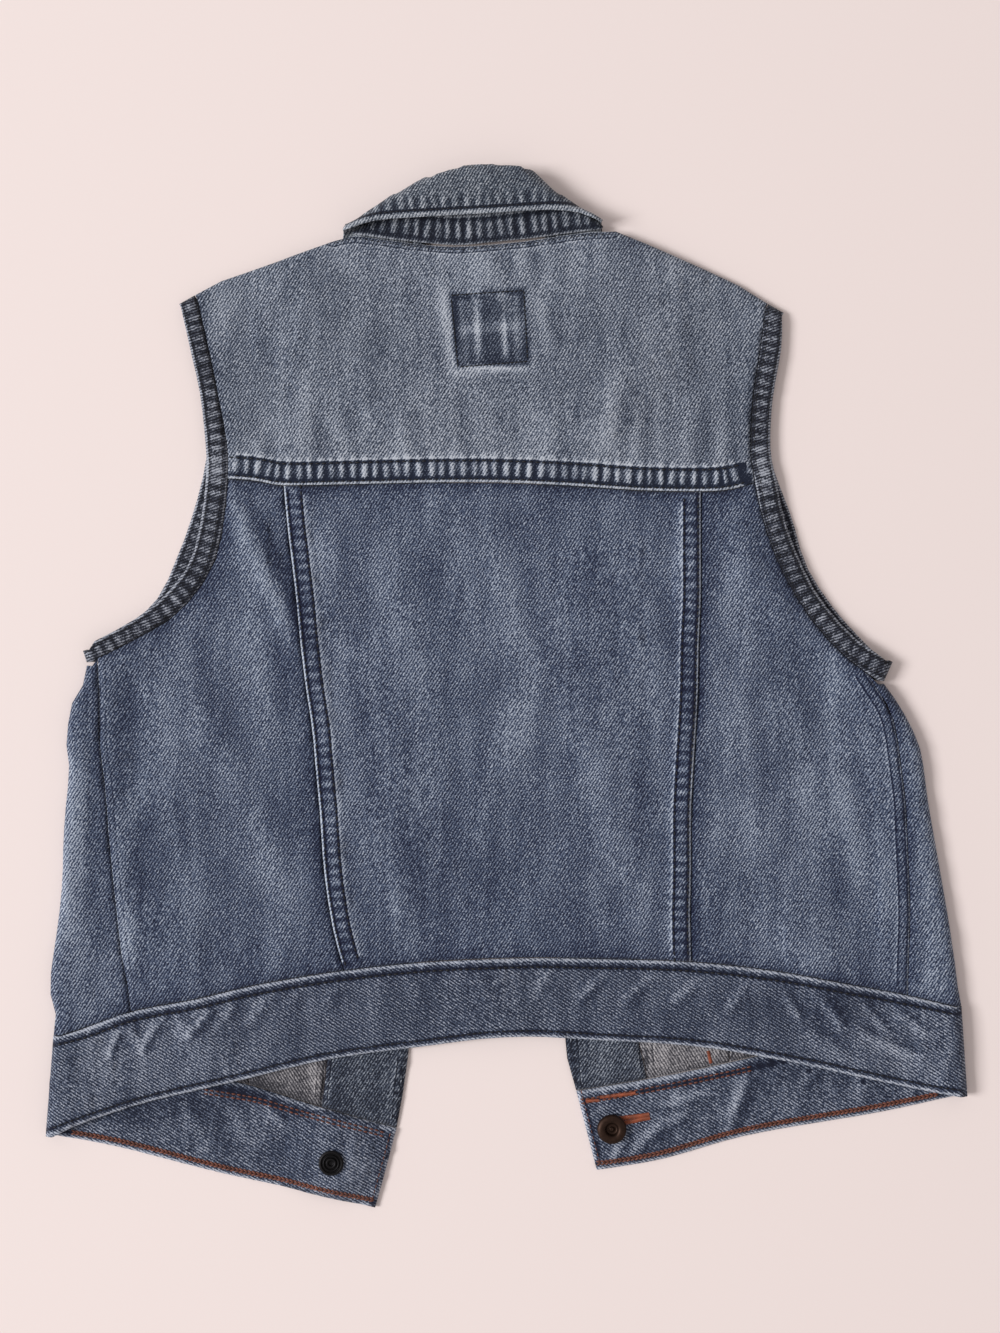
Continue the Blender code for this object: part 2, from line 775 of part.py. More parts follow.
def yoke():
    half = CLOTH / 2
    edge = joined(even(SHOULDER_LEFT, SHOULDER_STEPS), even(NECK_BACK, NECK_STEPS))
    edge = joined(edge, even(SHOULDER_RIGHT, SHOULDER_STEPS))
    folded = [1.0] * (SHOULDER_STEPS + 1) + [0.0] * (NECK_STEPS - 1) + [1.0] * (SHOULDER_STEPS + 1)
    outwards = outward_normals(edge)
    centres = [fold_centre(place, out, half) for place, out in zip(edge, outwards)]
    left_rows = (0, BACK_SEAM_LEFT_ROW)
    middle_rows = (BACK_SEAM_LEFT_ROW, BACK_SEAM_RIGHT_ROW)
    right_rows = (BACK_SEAM_RIGHT_ROW, len(YOKE_SEAM) - 1)
    lower = stations(cut(YOKE_SEAM, *left_rows), spread(SHOULDER_STEPS))
    lower = joined(lower, stations(cut(YOKE_SEAM, *middle_rows), spread(NECK_STEPS)))
    lower = joined(lower, stations(cut(YOKE_SEAM, *right_rows), spread(SHOULDER_STEPS)))
    left = stations(cut(arm_line(ARM_BACK_LEFT, 1, centres[0], None), YOKE_ROW, 0), YOKE_SHARES)
    right = stations(cut(arm_line(ARM_BACK_RIGHT, 1, centres[-1], None), YOKE_ROW, 0), YOKE_SHARES)
    points = raised(patch(lower, centres, left, right), back_height, half)
    for row in points[::-1]:
        for point, sewn in zip(row, points[0]):
            point.z += seam_rise((point.xy - sewn.xy).length, SEAM_WIDTH)
    points += shoulder_rows(edge, outwards, folded, back_height, half, True)
    cloth_wall("back_yoke", trimmed(points, (True, True, True, True)), CLOTH, DENIM_BLUE)


def front_side_panel(side, outward, arm_back, arm_front, hem_back, hem_front, seam_row):
    # Runs from the side seam on the back, round the fold, to the seam of the front.
    half = CLOTH / 2
    edge_bottom = tops(hem_back)[0]
    edge_top = Point(arm_back[-1].inner_x, arm_back[-1].inner_y - UNDERARM_NOTCH)
    fold_line = even(seam(FOLDS, side, edge_bottom, edge_top), WRAP_STEPS)
    centres = [fold_centre(place, outward, half) for place in fold_line]

    hem_over = [centres[0]] + tops(hem_back)[1:]
    over_bottom = stations(cut(hem_over, seam_row, 0), spread(STRIP_STEPS))
    arm_over = arm_line(arm_back, 1, None, centres[-1])
    over_top = stations(arm_over[-2:], spread(STRIP_STEPS))
    side_seam = even(seam(SIDE_SEAMS, side, Point(*over_bottom[0]), Point(*over_top[0])), WRAP_STEPS)
    over = patch(over_bottom, over_top, side_seam, centres)

    last = len(arm_front) - 1
    hem_under = [centres[0]] + tops(hem_front)[1:]
    under_bottom = stations(cut(hem_under, 0, FRONT_SEAM_HEM_ROW), spread(ARM_UNDER_STEPS))
    arm_under = arm_line(arm_front, 1, None, centres[-1])
    under_top = stations(cut(arm_under, last, FRONT_SEAM_ROW), spread(ARM_UNDER_STEPS))
    ends = (Point(*under_bottom[-1]), Point(*under_top[-1]))
    under = patch(under_bottom, under_top, centres, even(seam(FRONT_SEAMS, side, *ends), WRAP_STEPS))

    points = []
    upper = raised(over, back_height, half)
    lower = raised(under, front_height, half)
    for above, centre, below in zip(upper, centres, lower):
        points.append(above + bend(centre, outward, half) + below)
    name = "front_side_panel_" + side
    wall = trimmed(points, (True, True, True, True))
    cloth_wall(name, wall, CLOTH, DENIM_BLUE, even_wall=False)


def front_centre_panel(side, arm_front, hem_front, shoulder, neck):
    # Lies on the floor from the hem to the shoulder, with its armhole and its neck edge.
    half = CLOTH / 2
    edge = even(shoulder, SHOULDER_STEPS)
    outwards = outward_normals(edge)
    if side == "right":
        edge = edge[::-1]
        outwards = outwards[::-1]
    centres = [fold_centre(place, out, half) for place, out in zip(edge, outwards)]
    bottom = stations(cut(tops(hem_front), FRONT_SEAM_HEM_ROW, PLACKET_HEM_ROW), spread(SHOULDER_STEPS))

    arm = arm_line(arm_front, 1, centres[0], None)
    ends = (Point(*bottom[0]), Point(*arm[FRONT_SEAM_ROW]))
    seam_steps = PLACKET_STEPS + FRONT_NECK_STEPS - ARM_FRONT_STEPS
    outer_side = even(seam(FRONT_SEAMS, side, *ends), seam_steps)
    outer_side = joined(outer_side, stations(cut(arm, FRONT_SEAM_ROW, 0), spread(ARM_FRONT_STEPS)))

    ends = (Point(*bottom[-1]), neck[PLACKET_NECK_ROW])
    inner_side = even(seam(PLACKETS, side + "_sewn", *ends), PLACKET_STEPS)
    neck_edge = [centres[-1]] + neck[1:]
    neck_run = stations(cut(neck_edge, PLACKET_NECK_ROW, 0), spread(FRONT_NECK_STEPS))
    inner_side = joined(inner_side, neck_run)

    points = raised(patch(bottom, centres, outer_side, inner_side), front_height, half)
    points += shoulder_rows(edge, outwards, [1.0] * len(edge), front_height, half, False)
    name = "front_centre_panel_" + side
    cloth_wall(name, trimmed(points, (True, True, True, True)), CLOTH, DENIM_BLUE)


def placket(side, hem_front, neck):
    # The folded strip along one front's free edge, which holds its buttons or buttonholes.
    last = len(hem_front) - 1
    bottom = stations(cut(tops(hem_front), PLACKET_HEM_ROW, last), spread(PLACKET_COLUMNS))
    top = stations(cut(neck, PLACKET_NECK_ROW, len(neck) - 1), spread(PLACKET_COLUMNS))
    starts = (Point(*bottom[0]), Point(*top[0]))
    ends = (Point(*bottom[-1]), Point(*top[-1]))
    sewn = even(seam(PLACKETS, side + "_sewn", *starts), PLACKET_STEPS)
    free = even(seam(PLACKETS, side + "_free", *ends), PLACKET_STEPS)
    points = raised(patch(bottom, top, sewn, free), front_height, BAND / 2)
    cloth_wall("placket_" + side, trimmed(points, (True, True, True, False)), BAND, DENIM_DARK)


def hem_line(rows, share):
    # A line along the hem band, between its seam (0) and its bottom fold (1).
    return [Vector(a).lerp(Vector(b), share) for a, b in zip(tops(rows), bottoms(rows))]


def hem_band():
    # One folded strip: left front, left fold, back, right fold, right front.
    half = BAND / 2
    left_out = Vector((-1, 0))
    right_out = Vector((1, 0))
    points = []
    for share in spread(BAND_COLUMNS):
        back = hem_line(HEM_BACK, share)
        left = fold_centre(back[0], left_out, half)
        right = fold_centre(back[-1], right_out, half)
        under_left = even([left] + hem_line(HEM_FRONT_LEFT, share)[1:], BAND_LEFT_STEPS)
        over = even([left] + back[1:-1] + [right], BAND_BACK_STEPS)
        under_right = even([right] + hem_line(HEM_FRONT_RIGHT, share)[1:], BAND_RIGHT_STEPS)
        row = raised([under_left[::-1]], front_height, half)[0]
        row += bend(left, left_out, half)[::-1]
        row += raised([over], back_height, half)[0]
        row += bend(right, right_out, half)
        row += raised([under_right], front_height, half)[0]
        points.append(row)
    return cloth_wall("hem_band", trimmed(points, (True, False, False, False)), BAND, DENIM_DARK)


def armhole_binding(side, outward, shoulder_out, arm_back, arm_front):
    # A closed ring: down the back, round the underarm, up the front, round the shoulder.
    half = BINDING / 2
    last_front = len(arm_front) - 1
    yoke_down = [1 - share for share in reversed(YOKE_SHARES)]
    points = []
    for share in (0, 0.5, 1):
        plain = arm_line(arm_back, share, None, None)
        under = fold_centre(plain[-1], outward, half)
        over = fold_centre(plain[0], shoulder_out, half)
        back_line = arm_line(arm_back, share, over, under)
        back = stations(cut(back_line[:-1], 0, YOKE_ROW), yoke_down)
        lower = cut(back_line[:-1], YOKE_ROW, len(arm_back) - 2)
        back = joined(back, stations(lower, spread(ARM_BACK_STEPS)))
        back = joined(back, stations(back_line[-2:], spread(STRIP_STEPS)))
        front_line = arm_line(arm_front, share, over, under)
        front = stations(cut(front_line, last_front, FRONT_SEAM_ROW), spread(ARM_UNDER_STEPS))
        front = joined(front, stations(cut(front_line, FRONT_SEAM_ROW, 0), spread(ARM_FRONT_STEPS)))
        row = raised([back], back_height, half)[0]
        row += bend(under, outward, half)
        row += raised([front], front_height, half)[0]
        row += bend(over, shoulder_out, half)[::-1]
        row.append(row[0].copy())
        points.append(row)
    name = "armhole_binding_" + side
    cloth_wall(name, trimmed(points, (False, True, False, False)), BINDING, DENIM_STRIP, True)


def half_turn(low, high, outward, reach):
    # Points of a half turn from a point of the front layer up to one of the back layer.
    # It stands out by the given share of its half height.
    radius = (high.z - low.z) / 2
    points = []
    for step in range(1, BEND_STEPS):
        angle = -math.pi / 2 + math.pi * step / BEND_STEPS
        flat = low.xy.lerp(high.xy, step / BEND_STEPS)
        flat += outward * radius * reach * math.cos(angle)
        points.append(Vector((flat.x, flat.y, (high.z + low.z) / 2 + radius * math.sin(angle))))
    return points


def collar_run(rows, goal, from_roll, rise, count, on_back):
    # One row of the collar along part of the neck. It lies between the roll and its goal,
    # the neck seam or the leaf's edge: from_roll is in mm, or a share of the way as a minus.
    neck = even([Point(row.neck_x, row.neck_y) for row in rows], count)
    roll = even([Point(row.roll_x, row.roll_y) for row in rows], count)
    leaf = even([Point(row.leaf_x, row.leaf_y) for row in rows], count)
    result = []
    for seat, top, edge in zip(neck, roll, leaf):
        end = edge if goal == "leaf" else seat
        share = -from_roll if from_roll < 0 else from_roll / (end - top).length
        place = top.lerp(end, share)
        if on_back:
            seat_z = back_height(seat) + STAND / 2
            low = seat_z + (STAND_TOP - seat_z) * soft_step((1 - share) * 1.2)
            high = LEAF_TOP
        else:
            low = COLLAR_LIFT + COLLAR_CLEAR + STAND / 2
            high = LEAF / 2
        result.append(Vector((place.x, place.y, low + (high - low) * rise)))
    return result


def collar_row(goal, from_roll, rise):
    # One row right round the neck: left front, back, right front.
    left = collar_run(COLLAR_LEFT, goal, from_roll, rise, COLLAR_FRONT_STEPS, False)
    back = collar_run(COLLAR_BACK, goal, from_roll, rise, COLLAR_BACK_STEPS, True)
    right = collar_run(COLLAR_RIGHT, goal, from_roll, rise, COLLAR_FRONT_STEPS, False)
    reach = 1 + TURN_TAPER * from_roll if goal == "leaf" and from_roll < 0 else 1
    row = left[::-1] + half_turn(left[0], back[0], COLLAR_OUT_LEFT, reach) + back
    return row + half_turn(right[0], back[-1], COLLAR_OUT_RIGHT, reach)[::-1] + right


def collar():
    # The stand rises from the neck seam. The leaf is sewn to it, rolls over and falls back.
    stand_rows = [collar_row("neck", along, 0) for along in (-1.0, -0.7, -0.4)]
    stand_rows.append(collar_row("neck", LEAF_SEAM + STAND_CLEAR, 0))
    leaf_rows = [collar_row("neck", LEAF_SEAM, 0)]
    for angle in (-90, -45, 0, 45, 90):
        turn = math.radians(angle)
        goal = "neck" if angle < 0 else "leaf"
        from_roll = ROLL_DEPTH * (1 - math.cos(turn))
        leaf_rows.append(collar_row(goal, from_roll, (1 + math.sin(turn)) / 2))
    leaf_rows += [collar_row("leaf", along, 1) for along in (-0.35, -0.68, -1.0)]
    stand = trimmed(stand_rows, (True, True, False, False))
    leaf = trimmed(leaf_rows, (True, False, False, False))
    cloth_wall("collar_stand", stand, STAND, DENIM_BLUE, even_wall=False)
    cloth_wall("collar_leaf", leaf, LEAF, DENIM_BLUE, even_wall=False)


def turned(name, profile, colour):
    # A solid of revolution from a profile of radius and height that starts on its axis.
    mesh = bpy.data.meshes.new(name)
    shape = bmesh.new()
    verts = [shape.verts.new((turn.radius * MM, 0, turn.height * MM)) for turn in profile]
    for start, end in zip(verts, verts[1:]):
        shape.edges.new((start, end))
    shape.to_mesh(mesh)
    shape.free()
    made = add_object(name, mesh, colour, 0.4, 1, vest)
    screw = made.modifiers.new("turn", "SCREW")
    screw.axis = "Z"
    screw.steps = TURN_STEPS
    screw.render_steps = TURN_STEPS
    screw.use_merge_vertices = True
    screw.merge_threshold = 0.00002
    return made


def shank_hole(cloth, button):
    # The hole that a button's shank goes through.
    bpy.ops.mesh.primitive_cylinder_add(vertices=16, radius=SHANK_HOLE * MM, depth=0.03)
    cutter = bpy.context.object
    cutter.name = button.name + "_hole"
    cutter.location = (button.x * MM, button.y * MM, 0)
    cutter.hide_render = True
    cutter.display_type = "WIRE"
    for holder in list(cutter.users_collection):
        holder.objects.unlink(cutter)
    cutters.objects.link(cutter)
    hole = cloth.modifiers.new(button.name, "BOOLEAN")
    hole.operation = "DIFFERENCE"
    hole.solver = "EXACT"
    hole.object = cutter


def tack_button(button, head_up, colour):
    # Head, shank and tack in one turned solid, clasping the band.
    seat = front_height(Vector((button.x, button.y)))
    top = seat + BAND + BUTTON_SEAT
    low = seat - BUTTON_SEAT
    if head_up:
        profile = [Turn(row.radius, top + row.height) for row in reversed(HEAD_PROFILE)]
        profile += [Turn(SHANK_RADIUS, top), Turn(SHANK_RADIUS, SHANK_END), Turn(0, SHANK_END)]
    else:
        profile = [Turn(row.radius, top + row.height) for row in reversed(TACK_PROFILE)]
        profile += [Turn(SHANK_RADIUS, top), Turn(SHANK_RADIUS, low)]
        profile += [Turn(row.radius, low - row.height) for row in HEAD_PROFILE]
    made = turned(button.name, profile, colour)
    made.location = (button.x * MM, button.y * MM, 0)


for old in list(bpy.data.objects):
    bpy.data.objects.remove(old)
vest = bpy.data.collections.new("denim_vest")
cutters = bpy.data.collections.new("cutters")
bpy.context.scene.collection.children.link(vest)
bpy.context.scene.collection.children.link(cutters)

LEFT = Vector((-1, 0))
RIGHT = Vector((1, 0))
SHOULDER_OUT_LEFT = Vector((-0.49, 0.87))
SHOULDER_OUT_RIGHT = Vector((0.49, 0.87))
HEM_FROM_RIGHT = HEM_BACK[::-1]

yoke()
centre_panel()
back_side_panel(
    "left", ARM_BACK_LEFT, HEM_BACK, SIDE_LEFT_ROW, BACK_LEFT_ROW, (0, BACK_SEAM_LEFT_ROW))
back_side_panel(
    "right", ARM_BACK_RIGHT, HEM_FROM_RIGHT, SIDE_RIGHT_ROW, BACK_RIGHT_ROW_FROM_END,
    (len(YOKE_SEAM) - 1, BACK_SEAM_RIGHT_ROW))
front_side_panel(
    "left", LEFT, ARM_BACK_LEFT, ARM_FRONT_LEFT, HEM_BACK, HEM_FRONT_LEFT, SIDE_LEFT_ROW)
front_side_panel(
    "right", RIGHT, ARM_BACK_RIGHT, ARM_FRONT_RIGHT, HEM_FROM_RIGHT, HEM_FRONT_RIGHT, SIDE_RIGHT_ROW)
front_centre_panel("left", ARM_FRONT_LEFT, HEM_FRONT_LEFT, SHOULDER_LEFT, NECK_FRONT_LEFT)
front_centre_panel("right", ARM_FRONT_RIGHT, HEM_FRONT_RIGHT, SHOULDER_RIGHT, NECK_FRONT_RIGHT)
placket("left", HEM_FRONT_LEFT, NECK_FRONT_LEFT)
placket("right", HEM_FRONT_RIGHT, NECK_FRONT_RIGHT)
band = hem_band()
armhole_binding("left", LEFT, SHOULDER_OUT_LEFT, ARM_BACK_LEFT, ARM_FRONT_LEFT)
armhole_binding("right", RIGHT, SHOULDER_OUT_RIGHT, ARM_BACK_RIGHT, ARM_FRONT_RIGHT)
collar()
shank_hole(band, TACK_LEFT)
shank_hole(band, TACK_RIGHT)
tack_button(TACK_LEFT, False, GUNMETAL)
tack_button(TACK_RIGHT, True, BRONZE)
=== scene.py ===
# A cropped denim vest, laid face down with its back up, seen from straight above.
# The vest's left and right are the viewer's. Tables are in millimetres.
import math

import bmesh
import bpy
import numpy as np
from mathutils import Matrix, Vector, noise
from mathutils.bvhtree import BVHTree


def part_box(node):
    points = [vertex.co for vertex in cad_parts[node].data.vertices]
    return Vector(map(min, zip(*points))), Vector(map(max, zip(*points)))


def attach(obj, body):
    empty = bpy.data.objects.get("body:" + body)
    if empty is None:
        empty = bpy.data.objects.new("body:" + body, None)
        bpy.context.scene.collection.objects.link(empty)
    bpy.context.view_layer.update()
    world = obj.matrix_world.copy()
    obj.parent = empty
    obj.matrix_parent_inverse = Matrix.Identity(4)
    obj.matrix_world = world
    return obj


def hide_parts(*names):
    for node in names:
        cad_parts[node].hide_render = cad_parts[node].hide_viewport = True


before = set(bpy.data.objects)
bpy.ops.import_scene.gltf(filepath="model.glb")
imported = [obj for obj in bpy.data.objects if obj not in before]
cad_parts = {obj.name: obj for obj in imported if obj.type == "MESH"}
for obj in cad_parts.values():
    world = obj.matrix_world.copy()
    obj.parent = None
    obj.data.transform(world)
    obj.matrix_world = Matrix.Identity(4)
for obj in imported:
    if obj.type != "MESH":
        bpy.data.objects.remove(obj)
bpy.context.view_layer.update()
mm = 0.001
print("frame loaded")


# camera, window light, sky and floor; the window's place and size are in metres

setting = {
    "lens": 50,
    "frameCentre": (-2.55, 10.7),
    "height": 949,
    "windowPower": 500,
    "windowPlace": (-6.0, -0.2, 4.4),
    "windowSize": 2.6,
    "skyStrength": 0.5,
    "skyColour": "#fbf4f2",
    "floorColour": "#eee1de",
    "floorRoughness": 0.8,
    "floorHalf": 12,
    "floorDrop": 0.2,
}


def linearColour(hexText):
    # sRGB hex to linear values for a shader
    parts = [int(hexText[i:i + 2], 16) / 255 for i in (1, 3, 5)]
    return tuple(c / 12.92 if c <= 0.04045 else ((c + 0.055) / 1.055) ** 2.4 for c in parts) + (1,)


def addNode(tree, kind, settings=None, inputs=None):
    # a node with its settings; an input is a value or another node's socket
    node = tree.nodes.new(kind)
    for name, value in (settings or {}).items():
        setattr(node, name, value)
    for name, value in (inputs or {}).items():
        if isinstance(value, bpy.types.NodeSocket):
            tree.links.new(value, node.inputs[name])
        else:
            node.inputs[name].default_value = value
    return node


def newMaterial(name):
    made = bpy.data.materials.new(name)
    made.use_nodes = True
    return made, made.node_tree, made.node_tree.nodes["Principled BSDF"]


cameraData = bpy.data.cameras.new("camera")
cameraData.lens = setting["lens"]
camera = bpy.data.objects.new("camera", cameraData)
bpy.context.scene.collection.objects.link(camera)
camera.location = Vector((*setting["frameCentre"], setting["height"])) * mm
bpy.context.scene.camera = camera

windowData = bpy.data.lights.new("window", "AREA")
windowData.energy = setting["windowPower"]
windowData.size = setting["windowSize"]
window = bpy.data.objects.new("window", windowData)
bpy.context.scene.collection.objects.link(window)
window.location = setting["windowPlace"]
window.rotation_mode = "QUATERNION"
window.rotation_quaternion = (-Vector(setting["windowPlace"])).to_track_quat("-Z", "Y")

world = bpy.data.worlds.new("room")
bpy.context.scene.world = world
world.use_nodes = True
world.node_tree.nodes["Background"].inputs["Color"].default_value = linearColour(setting["skyColour"])
world.node_tree.nodes["Background"].inputs["Strength"].default_value = setting["skyStrength"]
bpy.context.scene.view_settings.view_transform = "Standard"

floorMesh = bpy.data.meshes.new("floor")
shape = bmesh.new()
bmesh.ops.create_grid(shape, x_segments=2, y_segments=2, size=setting["floorHalf"])
bmesh.ops.translate(shape, verts=shape.verts, vec=(0, 0, -setting["floorDrop"] * mm))
shape.to_mesh(floorMesh)
shape.free()
floor = bpy.data.objects.new("floor", floorMesh)
bpy.context.scene.collection.objects.link(floor)
# matt painted board: pale, slightly pink, no pattern
floorFinish, _, floorShader = newMaterial("paintedBoard")
floorShader.inputs["Base Color"].default_value = linearColour(setting["floorColour"])
floorShader.inputs["Roughness"].default_value = setting["floorRoughness"]
floorMesh.materials.append(floorFinish)
print("camera, light and floor made")


# the cut's seam lines and free edges, in plan

yokeSeam = [
    (-141.5, 106.5), (-127.5, 105.5), (-113, 103), (-84, 103.5), (-38, 104.5), (-2.5, 104.5),
    (33, 103), (69, 100.5), (100, 100), (115, 101), (127.5, 104.5)]
backSeamLeft = [
    (-113, 103), (-111.5, 85.5), (-109, 65), (-106.5, 44.5), (-104.5, 24), (-101.5, -1.5),
    (-98.5, -21), (-96.5, -44), (-94.5, -65), (-92.5, -93), (-89, -117.5), (-85.5, -133), (-82, -144.5)]
backSeamRight = [
    (100, 100), (100, 65), (100, 44.5), (99, 24), (98.5, -1.5), (97.5, -21), (96, -44),
    (95, -65), (95, -93), (94.5, -117.5), (95, -140)]
sideSeamLeft = [
    (-207.5, 15), (-207, -1.5), (-207, -27), (-205, -42), (-203.5, -57.5), (-202, -78),
    (-200, -98), (-198, -116.5), (-196, -135), (-191, -165.5)]
sideSeamRight = [
    (184, 7.5), (190, -1.5), (196.5, -12.5), (200, -27), (202, -42), (204, -57.5), (205, -78),
    (206, -98), (206.5, -116.5), (206, -135), (205.5, -157)]
hemTop = [
    (-232, -178), (-214, -173.5), (-191, -165.5), (-155.5, -158.5), (-125, -151.5), (-82, -144.5),
    (-38, -140), (7.5, -138), (48.5, -138.5), (95, -140), (140, -145), (181, -152.5),
    (205.5, -157), (233, -162.5)]
hemBottom = [
    (-234.5, -229), (-217, -222.5), (-186, -212.5), (-155.5, -205), (-127.5, -198.5),
    (-89, -189.5), (-41, -183), (2.5, -178), (48.5, -180), (97, -183), (143, -190.5),
    (186, -199.5), (212, -205), (236, -208.5)]
frontHemTopLeft = [(-230.5, -177.5), (-181, -191), (-131, -203.5), (-94, -215), (-55.5, -225.5)]
frontHemBottomLeft = [(-234.5, -229), (-196.5, -235.5), (-145.5, -248.5), (-107, -256.5), (-66.5, -266)]
frontHemTopRight = [(36.5, -206.5), (73, -200.5), (115, -192), (181, -176), (233, -162.5)]
frontHemBottomRight = [(47, -247), (80, -241.5), (125, -229), (191, -217.5), (236, -208.5)]
bandEndLeft = [(-55.5, -225.5), (-66.5, -266)]
bandEndRight = [(36.5, -206.5), (47, -247)]
armOuterLeft = [
    (-166.5, 196), (-160.5, 172), (-155.5, 149), (-152.5, 120.5), (-152.5, 106), (-155, 85.5),
    (-161, 63.5), (-174, 46.5), (-190, 34), (-209, 23.5), (-215.5, 19)]
armInnerLeft = [
    (-158.5, 200.5), (-152, 175), (-147, 150.5), (-142, 123.5), (-141.5, 106.5), (-144, 81.5),
    (-150, 60.5), (-166, 39), (-185, 26.5), (-207.5, 15), (-213.5, 13)]
armOuterRight = [
    (142.5, 191.5), (141, 173), (136.5, 146.5), (135.5, 121.5), (138.5, 106), (142.5, 86),
    (150.5, 64.5), (161, 45), (177.5, 26), (189, 17.5), (198, 13.5)]
armInnerRight = [
    (134.5, 196), (130, 170), (126.5, 146.5), (125.5, 121), (127.5, 104.5), (132.5, 83.5),
    (140.5, 62), (152.5, 40.5), (169, 20), (184, 7.5), (193.5, 3.5)]
armFrontLeft = [
    (-166.5, 196), (-155.5, 154.5), (-152, 131.5), (-154, 111), (-160.5, 86.5), (-168.5, 65),
    (-178, 45.5), (-196.5, 28.5), (-215.5, 19)]
armFrontRight = [
    (142.5, 191.5), (136, 157), (134, 126), (140, 105), (147, 86.5), (154, 63), (167.5, 41.5),
    (184, 23), (198, 13.5)]
neckSeam = [
    (-87.5, 227.5), (-76.5, 230), (-53.5, 227), (-25.5, 224.5), (7.5, 227), (35.5, 231), (56.5, 232.5)]
leafEdge = [(-88, 229), (-66.5, 236), (-33, 238.5), (-5, 240), (20, 241.5), (38, 241), (53, 236)]
placketSewnLeft = [(-67, 192.5), (-74, 95.5), (-80, -6.5), (-85, -108.5), (-94, -215)]
placketFreeLeft = [(-28, 172), (-32.5, 95.5), (-39.5, -6.5), (-45, -108.5), (-55.5, -225.5)]
placketSewnRight = [(50, 194), (56.5, 95.5), (61.5, -6.5), (66, -108.5), (73, -200.5)]
placketFreeRight = [(15.5, 172), (18.5, 95.5), (22, -6.5), (27, -108.5), (36.5, -206.5)]
frontSeamLeft = [(-171, 37), (-163, 10), (-154, -50), (-143, -120), (-131, -203.5)]
frontSeamRight = [(159, 34.5), (152, 10), (140, -50), (126, -120), (115, -192)]


def smoothPath(points, step, parts=8):
    # a smooth line through plan points, in metres, with a point every step millimetres
    plan = [Vector(p) for p in points]
    dense = [plan[0]]
    for i in range(len(plan) - 1):
        start, end = plan[i], plan[i + 1]
        before, after = plan[max(i - 1, 0)], plan[min(i + 2, len(plan) - 1)]
        for k in range(1, parts + 1):
            t = k / parts
            a = start * (2 * t ** 3 - 3 * t ** 2 + 1) + (end - before) * 0.5 * (t ** 3 - 2 * t ** 2 + t)
            b = end * (3 * t ** 2 - 2 * t ** 3) + (after - start) * 0.5 * (t ** 3 - t ** 2)
            dense.append(a + b)
    result = [dense[0]]
    left = step
    for start, end in zip(dense, dense[1:]):
        length = (end - start).length
        done = 0
        while length - done >= left:
            done += left
            result.append(start.lerp(end, done / length))
            left = step
        left -= length - done
    return [p * mm for p in result]


def movedPath(points, distance):
    # a line beside another; a plus goes to the left of its run
    result = []
    for i, p in enumerate(points):
        along = (points[min(i + 1, len(points) - 1)] - points[max(i - 1, 0)]).normalized()
        result.append(p + Vector((-along.y, along.x)) * distance * mm)
    return result
